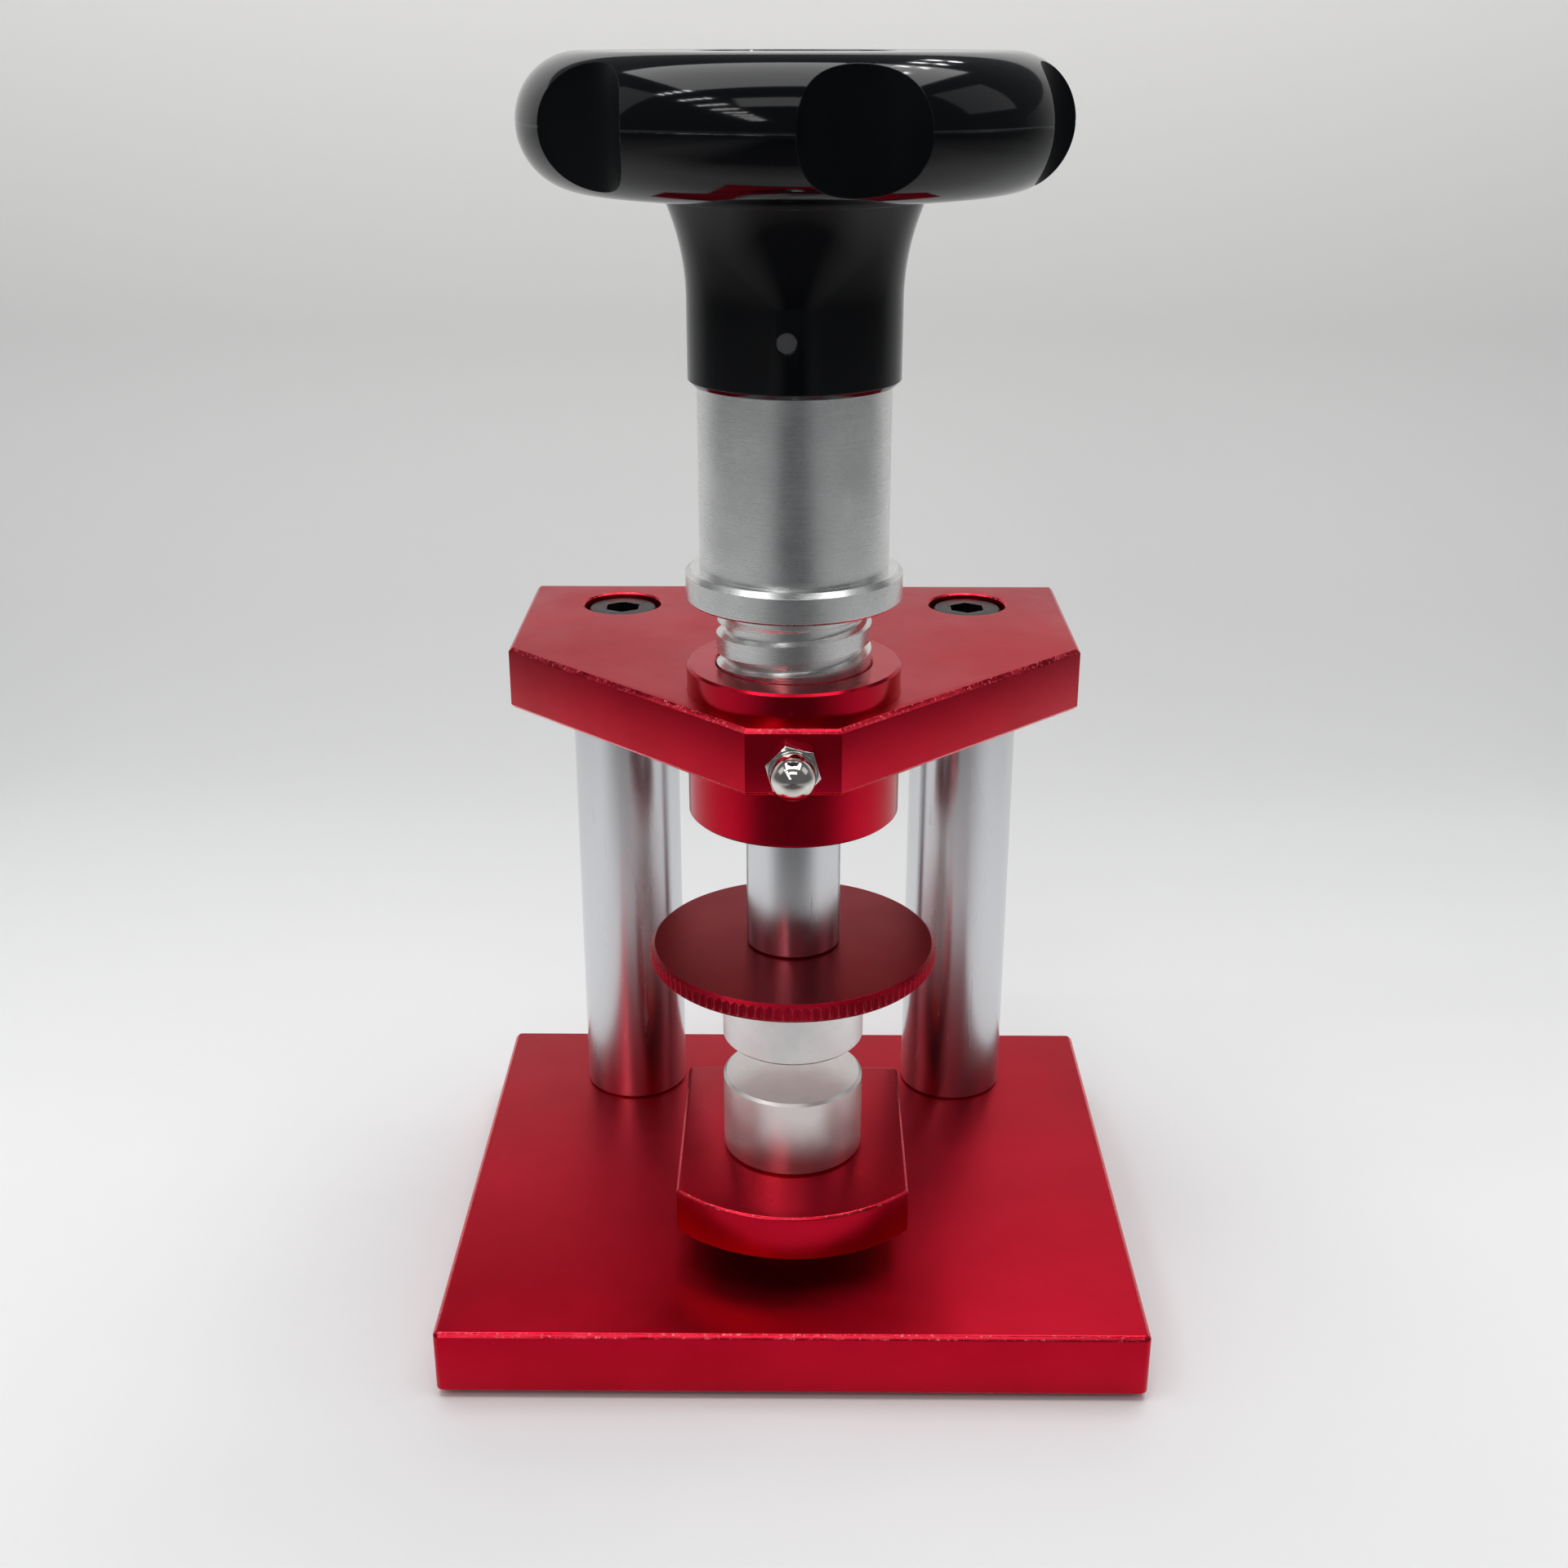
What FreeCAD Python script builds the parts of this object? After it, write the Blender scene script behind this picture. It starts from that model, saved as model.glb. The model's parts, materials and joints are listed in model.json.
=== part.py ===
import FreeCAD, Part
import math
import os

# Bench press for closing watch cases: a base with two columns carries a top plate, a hand wheel
# turns a screw spindle in a bush in that plate, and the spindle drives a plain press shaft down
# through a thrust bearing, so that the upper die comes down on the lower one without turning.
# Millimetres. The bench is z = 0, +X is to the right, +Y to the back, +Z up. x = 0 is the plane
# of symmetry, and y = 0 is halfway between the wheel's front and the base's back edge.

# ---- Base plate and feet
BASE_WIDTH = 120.0
BASE_DEPTH = 102.4
BASE_THICKNESS = 12.0
BASE_CORNER_RADIUS = 1.2
PLATE_EDGE_CHAMFER = 0.7
FOOT_DIAMETER = 12.0
FOOT_THICKNESS = 2.2
FOOT_STAND = 1.0
FOOT_INSET = 11.0
FOOT_EDGE_CHAMFER = 0.25

# ---- Columns
COLUMN_DIAMETER = 20.0
COLUMN_LENGTH = 90.3
COLUMN_TO_BASE_SIDE = 27.6
COLUMN_TO_BASE_BACK = 17.15
COLUMN_TO_PLATE_BACK = 12.55
COLUMN_TO_PRESS_AXIS = 48.85
COLUMN_END_CHAMFER = 0.4
COLUMN_TAPPED_DEPTH = 20.0

# ---- Cap screws that hold the columns, one from above and one from below each
COLUMN_SCREW_DIAMETER = 8.0
COLUMN_SCREW_HEAD_DIAMETER = 13.0
COLUMN_SCREW_HEAD_HEIGHT = 8.0
COLUMN_SCREW_HEX = 6.0
COLUMN_SCREW_LENGTH = 20.0
COLUMN_SCREW_SUNK = 0.7
COLUMN_SCREW_HEAD_GAP = 0.65

# ---- Top plate: straight back and sides, two slanting front faces and a narrow nose
PLATE_SIDE_MARGIN = 7.6
PLATE_THICKNESS = 11.2
PLATE_SIDE_LENGTH = 40.4
PLATE_NOSE_WIDTH = 15.1
PLATE_NOSE_WALL = 2.8

# ---- Screw nut bush in the top plate, and the stud and acorn nut that lock it
BUSH_WALL = 4.9
BUSH_ABOVE_PLATE = 4.7
BUSH_BELOW_PLATE = 10.1
BUSH_EDGE_CHAMFER = 0.4
LOCK_STUD_DIAMETER = 5.0
LOCK_STUD_IN_BUSH = 2.8
LOCK_STUD_IN_NUT = 7.0
ACORN_NUT_FLATS = 7.7
ACORN_NUT_HEX_HEIGHT = 4.0
ACORN_NUT_DOME_DIAMETER = 7.0
ACORN_NUT_HEIGHT = 9.8
ACORN_NUT_TURN = 16.0

# ---- Right-hand, single-start press thread
THREAD_LEAD = 5.0
THREAD_DEPTH = 1.45
THREAD_GROOVE_MOUTH = 2.0
THREAD_GROOVE_ROOT = 1.5
THREAD_CLEARANCE = 0.12
THREAD_FRONT_CREST = 4.7

# ---- Screw spindle, at its rest height
FLANGE_GAP_AT_REST = 10.9
SPINDLE_WALL = 3.15
FLANGE_RIM = 4.85
FLANGE_THICKNESS = 5.1
FLANGE_CHAMFER = 0.8
RELIEF_LENGTH = 2.6
RELIEF_BELOW_ROOT = 0.1
SLEEVE_STEP = 2.15
SLEEVE_LENGTH = 29.0
SPIGOT_WALL = 3.3
SPIGOT_LENGTH = 24.8
SPINDLE_END_RECESS = 1.8
SPINDLE_END_CHAMFER = 0.6
BEARING_POCKET_DEPTH = 17.2

# ---- Hand wheel
WHEEL_RADIUS = 40.9
RIM_SECTION_RADIUS = 9.6
WHEEL_HEIGHT = 47.8
HUB_WALL = 3.55
HUB_STRAIGHT = 12.8
HUB_FLARE_RADIUS = 36.0
HUB_FLARE_HEIGHT = 14.4
HUB_CHAMFER = 0.8
HUB_BORE_ENTRY = 0.3
HUB_BORE_SPARE = 0.4
SCALLOP_COUNT = 6
SCALLOP_RADIUS = 13.0
SCALLOP_DEPTH = 4.8
SCALLOP_FIRST_ANGLE = 13.2
WHEEL_TOP_DISH_DIAMETER = 30.0
WHEEL_TOP_DISH_DEPTH = 0.6

# ---- Drive pin through the hub wall into the spindle's spigot
DRIVE_PIN_DIAMETER = 3.0
DRIVE_PIN_HEIGHT = 8.3
DRIVE_PIN_ANGLE = -4.0
DRIVE_PIN_SUNK = 0.25
DRIVE_PIN_END_GAP = 0.5

# ---- Press shaft and what holds it up in the spindle
SHAFT_DIAMETER = 16.0
SHAFT_LIFT_PLAY = 0.1
SHAFT_NECK_STEP = 2.0
SHAFT_NECK_LENGTH = 3.4
SHAFT_PILOT_DIAMETER = 8.0
SHAFT_PILOT_END_GAP = 0.5
SHAFT_TAIL_DIAMETER = 10.0
SHAFT_EDGE_CHAMFER = 0.4
WASHER_OVERLAP = 1.5
WASHER_THICKNESS = 1.0
CIRCLIP_WIDTH = 2.2
CIRCLIP_THICKNESS = 1.0
CIRCLIP_GROOVE_DEPTH = 0.25
CIRCLIP_OPENING = 4.0

# ---- Thrust ball bearing between shaft and spindle
BEARING_RACE_THICKNESS = 2.0
BALL_DIAMETER = 3.0
BALL_COUNT = 10
BALL_CLEARANCE = 0.05
BALL_GROOVE_DEPTH = 0.45
CAGE_THICKNESS = 1.4
CAGE_BORE_GAP = 0.8
CAGE_RIM_GAP = 0.5
PLUG_LENGTH = 9.0
PLUG_BORE_GAP = 0.8
PLUG_SLOT_WIDTH = 2.0
PLUG_SLOT_DEPTH = 2.5

# ---- Knurled disc and dies
DISC_DIAMETER = 49.5
DISC_THICKNESS = 3.3
KNURL_COUNT = 104
KNURL_DEPTH = 0.45
KNURL_EDGE_CHAMFER = 0.35
DIE_DIAMETER = 24.6
UPPER_DIE_HEIGHT = 15.0
LOWER_DIE_HEIGHT = 14.45
DIE_EDGE_CHAMFER = 0.5
DIE_GAP_AT_REST = 7.6
DIE_STUD_DIAMETER = 6.0
DIE_STUD_IN_DIE = 8.5
DIE_STUD_IN_SHAFT = 12.0

# ---- Lower table on its pedestal: straight back and sides, curved front
TABLE_WIDTH = 40.2
TABLE_THICKNESS = 8.5
TABLE_BACK_REACH = 25.7
TABLE_CORNER_REACH = 16.3
TABLE_NOSE_REACH = 24.9
TABLE_BACK_CORNER_RADIUS = 1.0
TABLE_EDGE_CHAMFER = 0.4
PEDESTAL_DIAMETER = 20.0
PEDESTAL_HEIGHT = 6.75
TABLE_SCREW_IN_TABLE = 4.0
TABLE_SCREW_HEAD_DIAMETER = 10.0
TABLE_SCREW_HEAD_HEIGHT = 6.0
TABLE_SCREW_HEX = 5.0
TABLE_SCREW_SUNK = 0.6
TABLE_SCREW_HEAD_GAP = 0.5
DIE_STUD_IN_TABLE = 4.0

# ---- Clearances, each measured on the radius
LOCATING_FIT = 0.02
BEARING_POCKET_FIT = 0.2
UPPER_RACE_BORE_FIT = 0.2
SHAFT_RUNNING_FIT = 0.05
SCREW_HOLE_FIT = 0.4
TAPPED_HOLE_FIT = 0.03
TAPPED_HOLE_SPARE = 0.6
STUD_END_CHAMFER = 0.5
SCREW_HEAD_CHAMFER = 0.5
SOCKET_DEPTH_SHARE = 0.5
COUNTERBORE_CHAMFER = 0.3
CUT_OVERRUN = 1.0

# ---- Diameters that follow from the shaft outwards, wall by wall
COLUMN_SPACING = BASE_WIDTH - 2 * COLUMN_TO_BASE_SIDE
PLATE_WIDTH = COLUMN_SPACING + COLUMN_DIAMETER + 2 * PLATE_SIDE_MARGIN
COLUMN_SCREW_BORE_DIAMETER = COLUMN_SCREW_HEAD_DIAMETER + 2 * COLUMN_SCREW_HEAD_GAP
TABLE_SCREW_BORE_DIAMETER = TABLE_SCREW_HEAD_DIAMETER + 2 * TABLE_SCREW_HEAD_GAP
THREAD_ROOT_RADIUS = SHAFT_DIAMETER / 2 + SPINDLE_WALL
THREAD_DIAMETER = 2 * (THREAD_ROOT_RADIUS + THREAD_DEPTH)
BUSH_DIAMETER = THREAD_DIAMETER + 2 * BUSH_WALL
FLANGE_DIAMETER = THREAD_DIAMETER + 2 * FLANGE_RIM
SHAFT_NECK_DIAMETER = SHAFT_DIAMETER - 2 * SHAFT_NECK_STEP
CIRCLIP_DIAMETER = SHAFT_NECK_DIAMETER + 2 * CIRCLIP_WIDTH
CIRCLIP_GROOVE_DIAMETER = SHAFT_NECK_DIAMETER - 2 * CIRCLIP_GROOVE_DEPTH
WASHER_DIAMETER = SHAFT_DIAMETER + 2 * WASHER_OVERLAP
BEARING_DIAMETER = WASHER_DIAMETER
BALL_CIRCLE_DIAMETER = (SHAFT_PILOT_DIAMETER + BEARING_DIAMETER) / 2
CAGE_INNER_DIAMETER = SHAFT_PILOT_DIAMETER + 2 * CAGE_BORE_GAP
CAGE_OUTER_DIAMETER = BEARING_DIAMETER - 2 * CAGE_RIM_GAP
PLUG_BORE_DIAMETER = SHAFT_PILOT_DIAMETER + 2 * PLUG_BORE_GAP
POCKET_RADIUS = BEARING_DIAMETER / 2 + BEARING_POCKET_FIT
SPIGOT_DIAMETER = 2 * (POCKET_RADIUS + SPIGOT_WALL)
SLEEVE_DIAMETER = SPIGOT_DIAMETER + 2 * SLEEVE_STEP
HUB_DIAMETER = SPIGOT_DIAMETER + 2 * HUB_WALL
DRIVE_PIN_LENGTH = SPIGOT_WALL + HUB_WALL - DRIVE_PIN_SUNK - DRIVE_PIN_END_GAP

# ---- Plan positions
PRESS_AXIS_TO_BASE_BACK = COLUMN_TO_PRESS_AXIS + COLUMN_TO_BASE_BACK
Y_BASE_BACK = (PRESS_AXIS_TO_BASE_BACK + WHEEL_RADIUS) / 2
Y_BASE_FRONT = Y_BASE_BACK - BASE_DEPTH
Y_COLUMN = Y_BASE_BACK - COLUMN_TO_BASE_BACK
Y_AXIS = Y_COLUMN - COLUMN_TO_PRESS_AXIS
Y_PLATE_BACK = Y_COLUMN + COLUMN_TO_PLATE_BACK
Y_PLATE_NOSE = Y_AXIS - BUSH_DIAMETER / 2 - PLATE_NOSE_WALL
X_COLUMNS = (-COLUMN_SPACING / 2, COLUMN_SPACING / 2)

# ---- Heights above the bench
Z_BASE = FOOT_STAND
Z_BASE_TOP = Z_BASE + BASE_THICKNESS
Z_TABLE = Z_BASE_TOP + PEDESTAL_HEIGHT
Z_TABLE_TOP = Z_TABLE + TABLE_THICKNESS
Z_LOWER_DIE_TOP = Z_TABLE_TOP + LOWER_DIE_HEIGHT
Z_UPPER_DIE = Z_LOWER_DIE_TOP + DIE_GAP_AT_REST
Z_DISC = Z_UPPER_DIE + UPPER_DIE_HEIGHT
Z_DISC_TOP = Z_DISC + DISC_THICKNESS
Z_PLATE = Z_BASE_TOP + COLUMN_LENGTH
Z_PLATE_TOP = Z_PLATE + PLATE_THICKNESS
Z_BUSH = Z_PLATE - BUSH_BELOW_PLATE
Z_BUSH_TOP = Z_PLATE_TOP + BUSH_ABOVE_PLATE
Z_SPINDLE = Z_BUSH + SPINDLE_END_RECESS
Z_FLANGE = Z_BUSH_TOP + FLANGE_GAP_AT_REST
Z_FLANGE_TOP = Z_FLANGE + FLANGE_THICKNESS
Z_HUB = Z_FLANGE_TOP + SLEEVE_LENGTH
Z_SPIGOT_TOP = Z_HUB + SPIGOT_LENGTH
Z_WHEEL_TOP = Z_HUB + WHEEL_HEIGHT
Z_POCKET = Z_HUB - BEARING_POCKET_DEPTH
Z_SHAFT_SHOULDER = Z_POCKET + SHAFT_LIFT_PLAY
Z_WASHER_TOP = Z_SHAFT_SHOULDER + WASHER_THICKNESS
Z_CIRCLIP_TOP = Z_WASHER_TOP + CIRCLIP_THICKNESS
Z_LOWER_RACE = Z_SHAFT_SHOULDER + SHAFT_NECK_LENGTH
Z_LOWER_RACE_TOP = Z_LOWER_RACE + BEARING_RACE_THICKNESS
BALL_GROOVE_RADIUS = BALL_DIAMETER / 2 + BALL_CLEARANCE
Z_BALLS = Z_LOWER_RACE_TOP + BALL_GROOVE_RADIUS - BALL_GROOVE_DEPTH
Z_UPPER_RACE = Z_BALLS + BALL_GROOVE_RADIUS - BALL_GROOVE_DEPTH
Z_PLUG = Z_UPPER_RACE + BEARING_RACE_THICKNESS


def point(x, y, z):
    return FreeCAD.Vector(x, y, z)


UP = point(0, 0, 1)
PRESS_AXIS = point(0, Y_AXIS, 0)


# ---- Shared shapes

def cylinder(radius, bottom, top, x=0.0, y=0.0):
    """Upright cylinder between two heights."""
    return Part.makeCylinder(radius, top - bottom, point(x, y, bottom), UP)


def turned(outline, x=0.0, y=0.0):
    """Solid of revolution about an upright axis from (radius, height) corners."""
    corners = [point(x + radius, y, height) for radius, height in outline]
    face = Part.Face(Part.makePolygon(corners + corners[:1]))
    return face.revolve(point(x, y, 0), UP, 360)


def chamfered_rod(radius, bottom, top, chamfer, x=0.0, y=0.0):
    """Upright round bar with a chamfer at both ends."""
    outline = [(0, bottom), (radius - chamfer, bottom), (radius, bottom + chamfer),
               (radius, top - chamfer), (radius - chamfer, top), (0, top)]
    return turned(outline, x, y)


def washer_shape(inner, outer, bottom, top, x=0.0, y=0.0):
    """Flat ring between two heights."""
    return turned([(inner, bottom), (outer, bottom), (outer, top), (inner, top)], x, y)


def countersink(radius, mouth, chamfer, x, y, below=False):
    """Cone that breaks the edge of a hole whose mouth faces up, or down if below is set."""
    side = -1 if below else 1
    outline = [(0, mouth - side * chamfer), (radius, mouth - side * chamfer),
               (radius + chamfer, mouth), (radius + chamfer, mouth + side * CUT_OVERRUN),
               (0, mouth + side * CUT_OVERRUN)]
    return turned(outline, x, y)


def hexagon(flats, bottom, top, turn=0.0):
    """Upright hexagonal prism on the z axis."""
    radius = flats / math.sqrt(3)
    corners = []
    for side in range(6):
        angle = math.radians(60 * side + turn)
        corners.append(point(radius * math.cos(angle), radius * math.sin(angle), bottom))
    return Part.Face(Part.makePolygon(corners + corners[:1])).extrude(UP * (top - bottom))


def cap_screw(thread, length, head, head_height, hexagon_flats):
    """Socket cap screw on the z axis: its seat is z = 0, its head is above, its shank below."""
    head_radius = head / 2
    shank = thread / 2
    outline = [(0, -length), (shank - STUD_END_CHAMFER, -length),
               (shank, STUD_END_CHAMFER - length), (shank, 0), (head_radius, 0),
               (head_radius, head_height - SCREW_HEAD_CHAMFER),
               (head_radius - SCREW_HEAD_CHAMFER, head_height), (0, head_height)]
    socket_floor = head_height * (1 - SOCKET_DEPTH_SHARE)
    return turned(outline).cut(hexagon(hexagon_flats, socket_floor, head_height + CUT_OVERRUN))


def placed(shape, x, y, z, upside_down=False):
    """Copy of a shape moved to a place, turned over about X first if asked."""
    copy = shape.copy()
    if upside_down:
        copy.rotate(point(0, 0, 0), point(1, 0, 0), 180)
    copy.translate(point(x, y, z))
    return copy


def edges_at_height(shape, height):
    """Edges that lie in one level plane."""
    found = []
    for edge in shape.Edges:
        box = edge.BoundBox
        if abs(box.ZMin - height) < 1e-6 and abs(box.ZMax - height) < 1e-6:
            found.append(edge)
    return found


def slab(outline_edges, bottom, top, chamfer):
    """Flat plate from a closed outline drawn at its bottom, with its top and bottom edges broken."""
    plate = Part.Face(Part.Wire(outline_edges)).extrude(UP * (top - bottom))
    plate = plate.makeChamfer(chamfer, edges_at_height(plate, top))
    return plate.makeChamfer(chamfer, edges_at_height(plate, bottom))


def polygon_edges(corners):
    """Straight edges round a closed list of points."""
    following = corners[1:] + corners[:1]
    return [Part.LineSegment(start, end).toShape() for start, end in zip(corners, following)]


def helical_turns(profile, lowest, highest, front_height):
    """Right-hand helical solids, one a turn, of a (radius, height) section about the press axis.

    The section's height 0 passes the front of the axis at front_height. The turns start at or
    below the lowest height and end at the highest."""
    corners = [point(radius, 0, height) for radius, height in profile]
    section = Part.makePolygon(corners + corners[:1])
    right_height = front_height + THREAD_LEAD / 4
    height = right_height - math.ceil((right_height - lowest) / THREAD_LEAD) * THREAD_LEAD
    turns = []
    while height < highest:
        rise = min(THREAD_LEAD, highest - height)
        path = Part.makeHelix(THREAD_LEAD, rise, THREAD_DIAMETER / 2)
        turn = Part.Wire(path.Edges).makePipeShell([section], True, True)
        turn.translate(point(0, Y_AXIS, height))
        turns.append(turn)
        height += THREAD_LEAD
    return turns


# ---- Base group

def column_places():
    return [(x, Y_COLUMN) for x in X_COLUMNS]


def base_plate():
    """Rectangular plate, drilled from below for the column screws, the table screw and the feet."""
    half = BASE_WIDTH / 2
    corners = [point(-half, Y_BASE_FRONT, Z_BASE), point(half, Y_BASE_FRONT, Z_BASE),
               point(half, Y_BASE_BACK, Z_BASE), point(-half, Y_BASE_BACK, Z_BASE)]
    blank = Part.Face(Part.makePolygon(corners + corners[:1])).extrude(UP * BASE_THICKNESS)
    uprights = [edge for edge in blank.Edges if edge.BoundBox.ZLength > BASE_THICKNESS / 2]
    blank = blank.makeFillet(BASE_CORNER_RADIUS, uprights)
    blank = blank.makeChamfer(PLATE_EDGE_CHAMFER, edges_at_height(blank, Z_BASE_TOP))
    plate = blank.makeChamfer(PLATE_EDGE_CHAMFER, edges_at_height(blank, Z_BASE))
    seat = Z_BASE + COLUMN_SCREW_SUNK + COLUMN_SCREW_HEAD_HEIGHT
    for x, y in column_places():
        plate = plate.cut(cylinder(COLUMN_SCREW_BORE_DIAMETER / 2, Z_BASE - CUT_OVERRUN, seat, x, y))
        plate = plate.cut(cylinder(COLUMN_SCREW_DIAMETER / 2 + SCREW_HOLE_FIT, seat - CUT_OVERRUN,
                                   Z_BASE_TOP + CUT_OVERRUN, x, y))
    seat = Z_BASE + TABLE_SCREW_SUNK + TABLE_SCREW_HEAD_HEIGHT
    plate = plate.cut(cylinder(TABLE_SCREW_BORE_DIAMETER / 2, Z_BASE - CUT_OVERRUN, seat, 0, Y_AXIS))
    plate = plate.cut(cylinder(DIE_STUD_DIAMETER / 2 + SCREW_HOLE_FIT, seat - CUT_OVERRUN,
                               Z_BASE_TOP + CUT_OVERRUN, 0, Y_AXIS))
    for x, y in foot_places():
        plate = plate.cut(cylinder(FOOT_DIAMETER / 2 + LOCATING_FIT, Z_BASE - CUT_OVERRUN,
                                   FOOT_THICKNESS, x, y))
    return plate


def foot_places():
    x = BASE_WIDTH / 2 - FOOT_INSET
    return [(-x, Y_BASE_FRONT + FOOT_INSET), (x, Y_BASE_FRONT + FOOT_INSET),
            (x, Y_BASE_BACK - FOOT_INSET), (-x, Y_BASE_BACK - FOOT_INSET)]


def rubber_feet():
    """Four soft discs let into the underside, standing a little proud of it."""
    feet = [chamfered_rod(FOOT_DIAMETER / 2, 0, FOOT_THICKNESS, FOOT_EDGE_CHAMFER, x, y)
            for x, y in foot_places()]
    return Part.makeCompound(feet)


def column(x):
    """Ground round column, tapped at both ends."""
    bar = chamfered_rod(COLUMN_DIAMETER / 2, Z_BASE_TOP, Z_PLATE, COLUMN_END_CHAMFER, x, Y_COLUMN)
    hole = COLUMN_SCREW_DIAMETER / 2 + TAPPED_HOLE_FIT
    bar = bar.cut(cylinder(hole, Z_BASE_TOP - CUT_OVERRUN, Z_BASE_TOP + COLUMN_TAPPED_DEPTH,
                           x, Y_COLUMN))
    return bar.cut(cylinder(hole, Z_PLATE - COLUMN_TAPPED_DEPTH, Z_PLATE + CUT_OVERRUN, x, Y_COLUMN))


def column_screw():
    return cap_screw(COLUMN_SCREW_DIAMETER, COLUMN_SCREW_LENGTH, COLUMN_SCREW_HEAD_DIAMETER,
                     COLUMN_SCREW_HEAD_HEIGHT, COLUMN_SCREW_HEX)


def column_base_screws():
    """Two cap screws up through the base into the columns."""
    seat = Z_BASE + COLUMN_SCREW_SUNK + COLUMN_SCREW_HEAD_HEIGHT
    return Part.makeCompound([placed(column_screw(), x, y, seat, upside_down=True)
                              for x, y in column_places()])


def column_cap_screws():
    """Two cap screws down through the top plate into the columns."""
    seat = Z_PLATE_TOP - COLUMN_SCREW_SUNK - COLUMN_SCREW_HEAD_HEIGHT
    return Part.makeCompound([placed(column_screw(), x, y, seat) for x, y in column_places()])


# ---- Top plate group

def top_plate():
    """Plate on the columns that narrows to a nose in front of the screw bush."""
    half = PLATE_WIDTH / 2
    nose = PLATE_NOSE_WIDTH / 2
    y_shoulder = Y_PLATE_BACK - PLATE_SIDE_LENGTH
    corners = [point(-half, Y_PLATE_BACK, Z_PLATE), point(-half, y_shoulder, Z_PLATE),
               point(-nose, Y_PLATE_NOSE, Z_PLATE), point(nose, Y_PLATE_NOSE, Z_PLATE),
               point(half, y_shoulder, Z_PLATE), point(half, Y_PLATE_BACK, Z_PLATE)]
    plate = slab(polygon_edges(corners), Z_PLATE, Z_PLATE_TOP, PLATE_EDGE_CHAMFER)
    plate = plate.cut(cylinder(BUSH_DIAMETER / 2 + LOCATING_FIT, Z_PLATE - CUT_OVERRUN,
                               Z_PLATE_TOP + CUT_OVERRUN, 0, Y_AXIS))
    seat = Z_PLATE_TOP - COLUMN_SCREW_SUNK - COLUMN_SCREW_HEAD_HEIGHT
    bore = COLUMN_SCREW_BORE_DIAMETER / 2
    for x, y in column_places():
        plate = plate.cut(cylinder(bore, seat, Z_PLATE_TOP + CUT_OVERRUN, x, y))
        plate = plate.cut(countersink(bore, Z_PLATE_TOP, COUNTERBORE_CHAMFER, x, y))
        plate = plate.cut(cylinder(COLUMN_SCREW_DIAMETER / 2 + SCREW_HOLE_FIT,
                                   Z_PLATE - CUT_OVERRUN, seat + CUT_OVERRUN, x, y))
    return plate.cut(lock_stud_drilling(Y_PLATE_NOSE - CUT_OVERRUN, Y_AXIS))


def lock_stud_drilling(y_from, y_to):
    """Level hole for the lock stud at the plate's mid height, between two places front to back."""
    origin = point(0, y_from, (Z_PLATE + Z_PLATE_TOP) / 2)
    radius = LOCK_STUD_DIAMETER / 2 + TAPPED_HOLE_FIT
    return Part.makeCylinder(radius, y_to - y_from, origin, point(0, 1, 0))


def thread_ridge_profile():
    """Section of the nut's ridge, which the spindle's groove takes with clearance all round."""
    root = THREAD_ROOT_RADIUS
    slope = (THREAD_GROOVE_MOUTH - THREAD_GROOVE_ROOT) / 2 / THREAD_DEPTH
    mouth = THREAD_GROOVE_MOUTH / 2 + slope * CUT_OVERRUN
    outer = THREAD_DIAMETER / 2 + CUT_OVERRUN
    return [(root, -THREAD_GROOVE_ROOT / 2), (outer, -mouth), (outer, mouth),
            (root, THREAD_GROOVE_ROOT / 2)]


def thread_crest_profile():
    """Section that the nut leaves free for the spindle's crest, clearance included."""
    slope = (THREAD_GROOVE_MOUTH - THREAD_GROOVE_ROOT) / 2 / THREAD_DEPTH
    outer = THREAD_DIAMETER / 2 + THREAD_CLEARANCE
    inner = THREAD_ROOT_RADIUS - CUT_OVERRUN
    half_outer = (THREAD_LEAD - THREAD_GROOVE_MOUTH) / 2 + THREAD_CLEARANCE
    half_inner = half_outer + slope * (outer - inner)
    return [(inner, -half_inner), (outer, -half_outer), (outer, half_outer), (inner, half_inner)]


def thread_front_crest_height():
    """Height at which the middle of a crest passes the front of the spindle at rest."""
    return Z_BUSH_TOP + THREAD_FRONT_CREST


def threaded_sleeve():
    """Sleeve with the nut's thread inside, a turn longer than the bush at both ends."""
    bore = THREAD_ROOT_RADIUS + THREAD_CLEARANCE
    sleeve = washer_shape(bore, BUSH_DIAMETER / 2 + CUT_OVERRUN, Z_BUSH - 2 * THREAD_LEAD,
                          Z_BUSH_TOP + 2 * THREAD_LEAD, 0, Y_AXIS)
    half_lead = THREAD_LEAD / 2
    for turn in helical_turns(thread_crest_profile(), Z_BUSH - half_lead, Z_BUSH_TOP + half_lead,
                              thread_front_crest_height()):
        sleeve = sleeve.cut(turn)
    return sleeve


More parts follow.
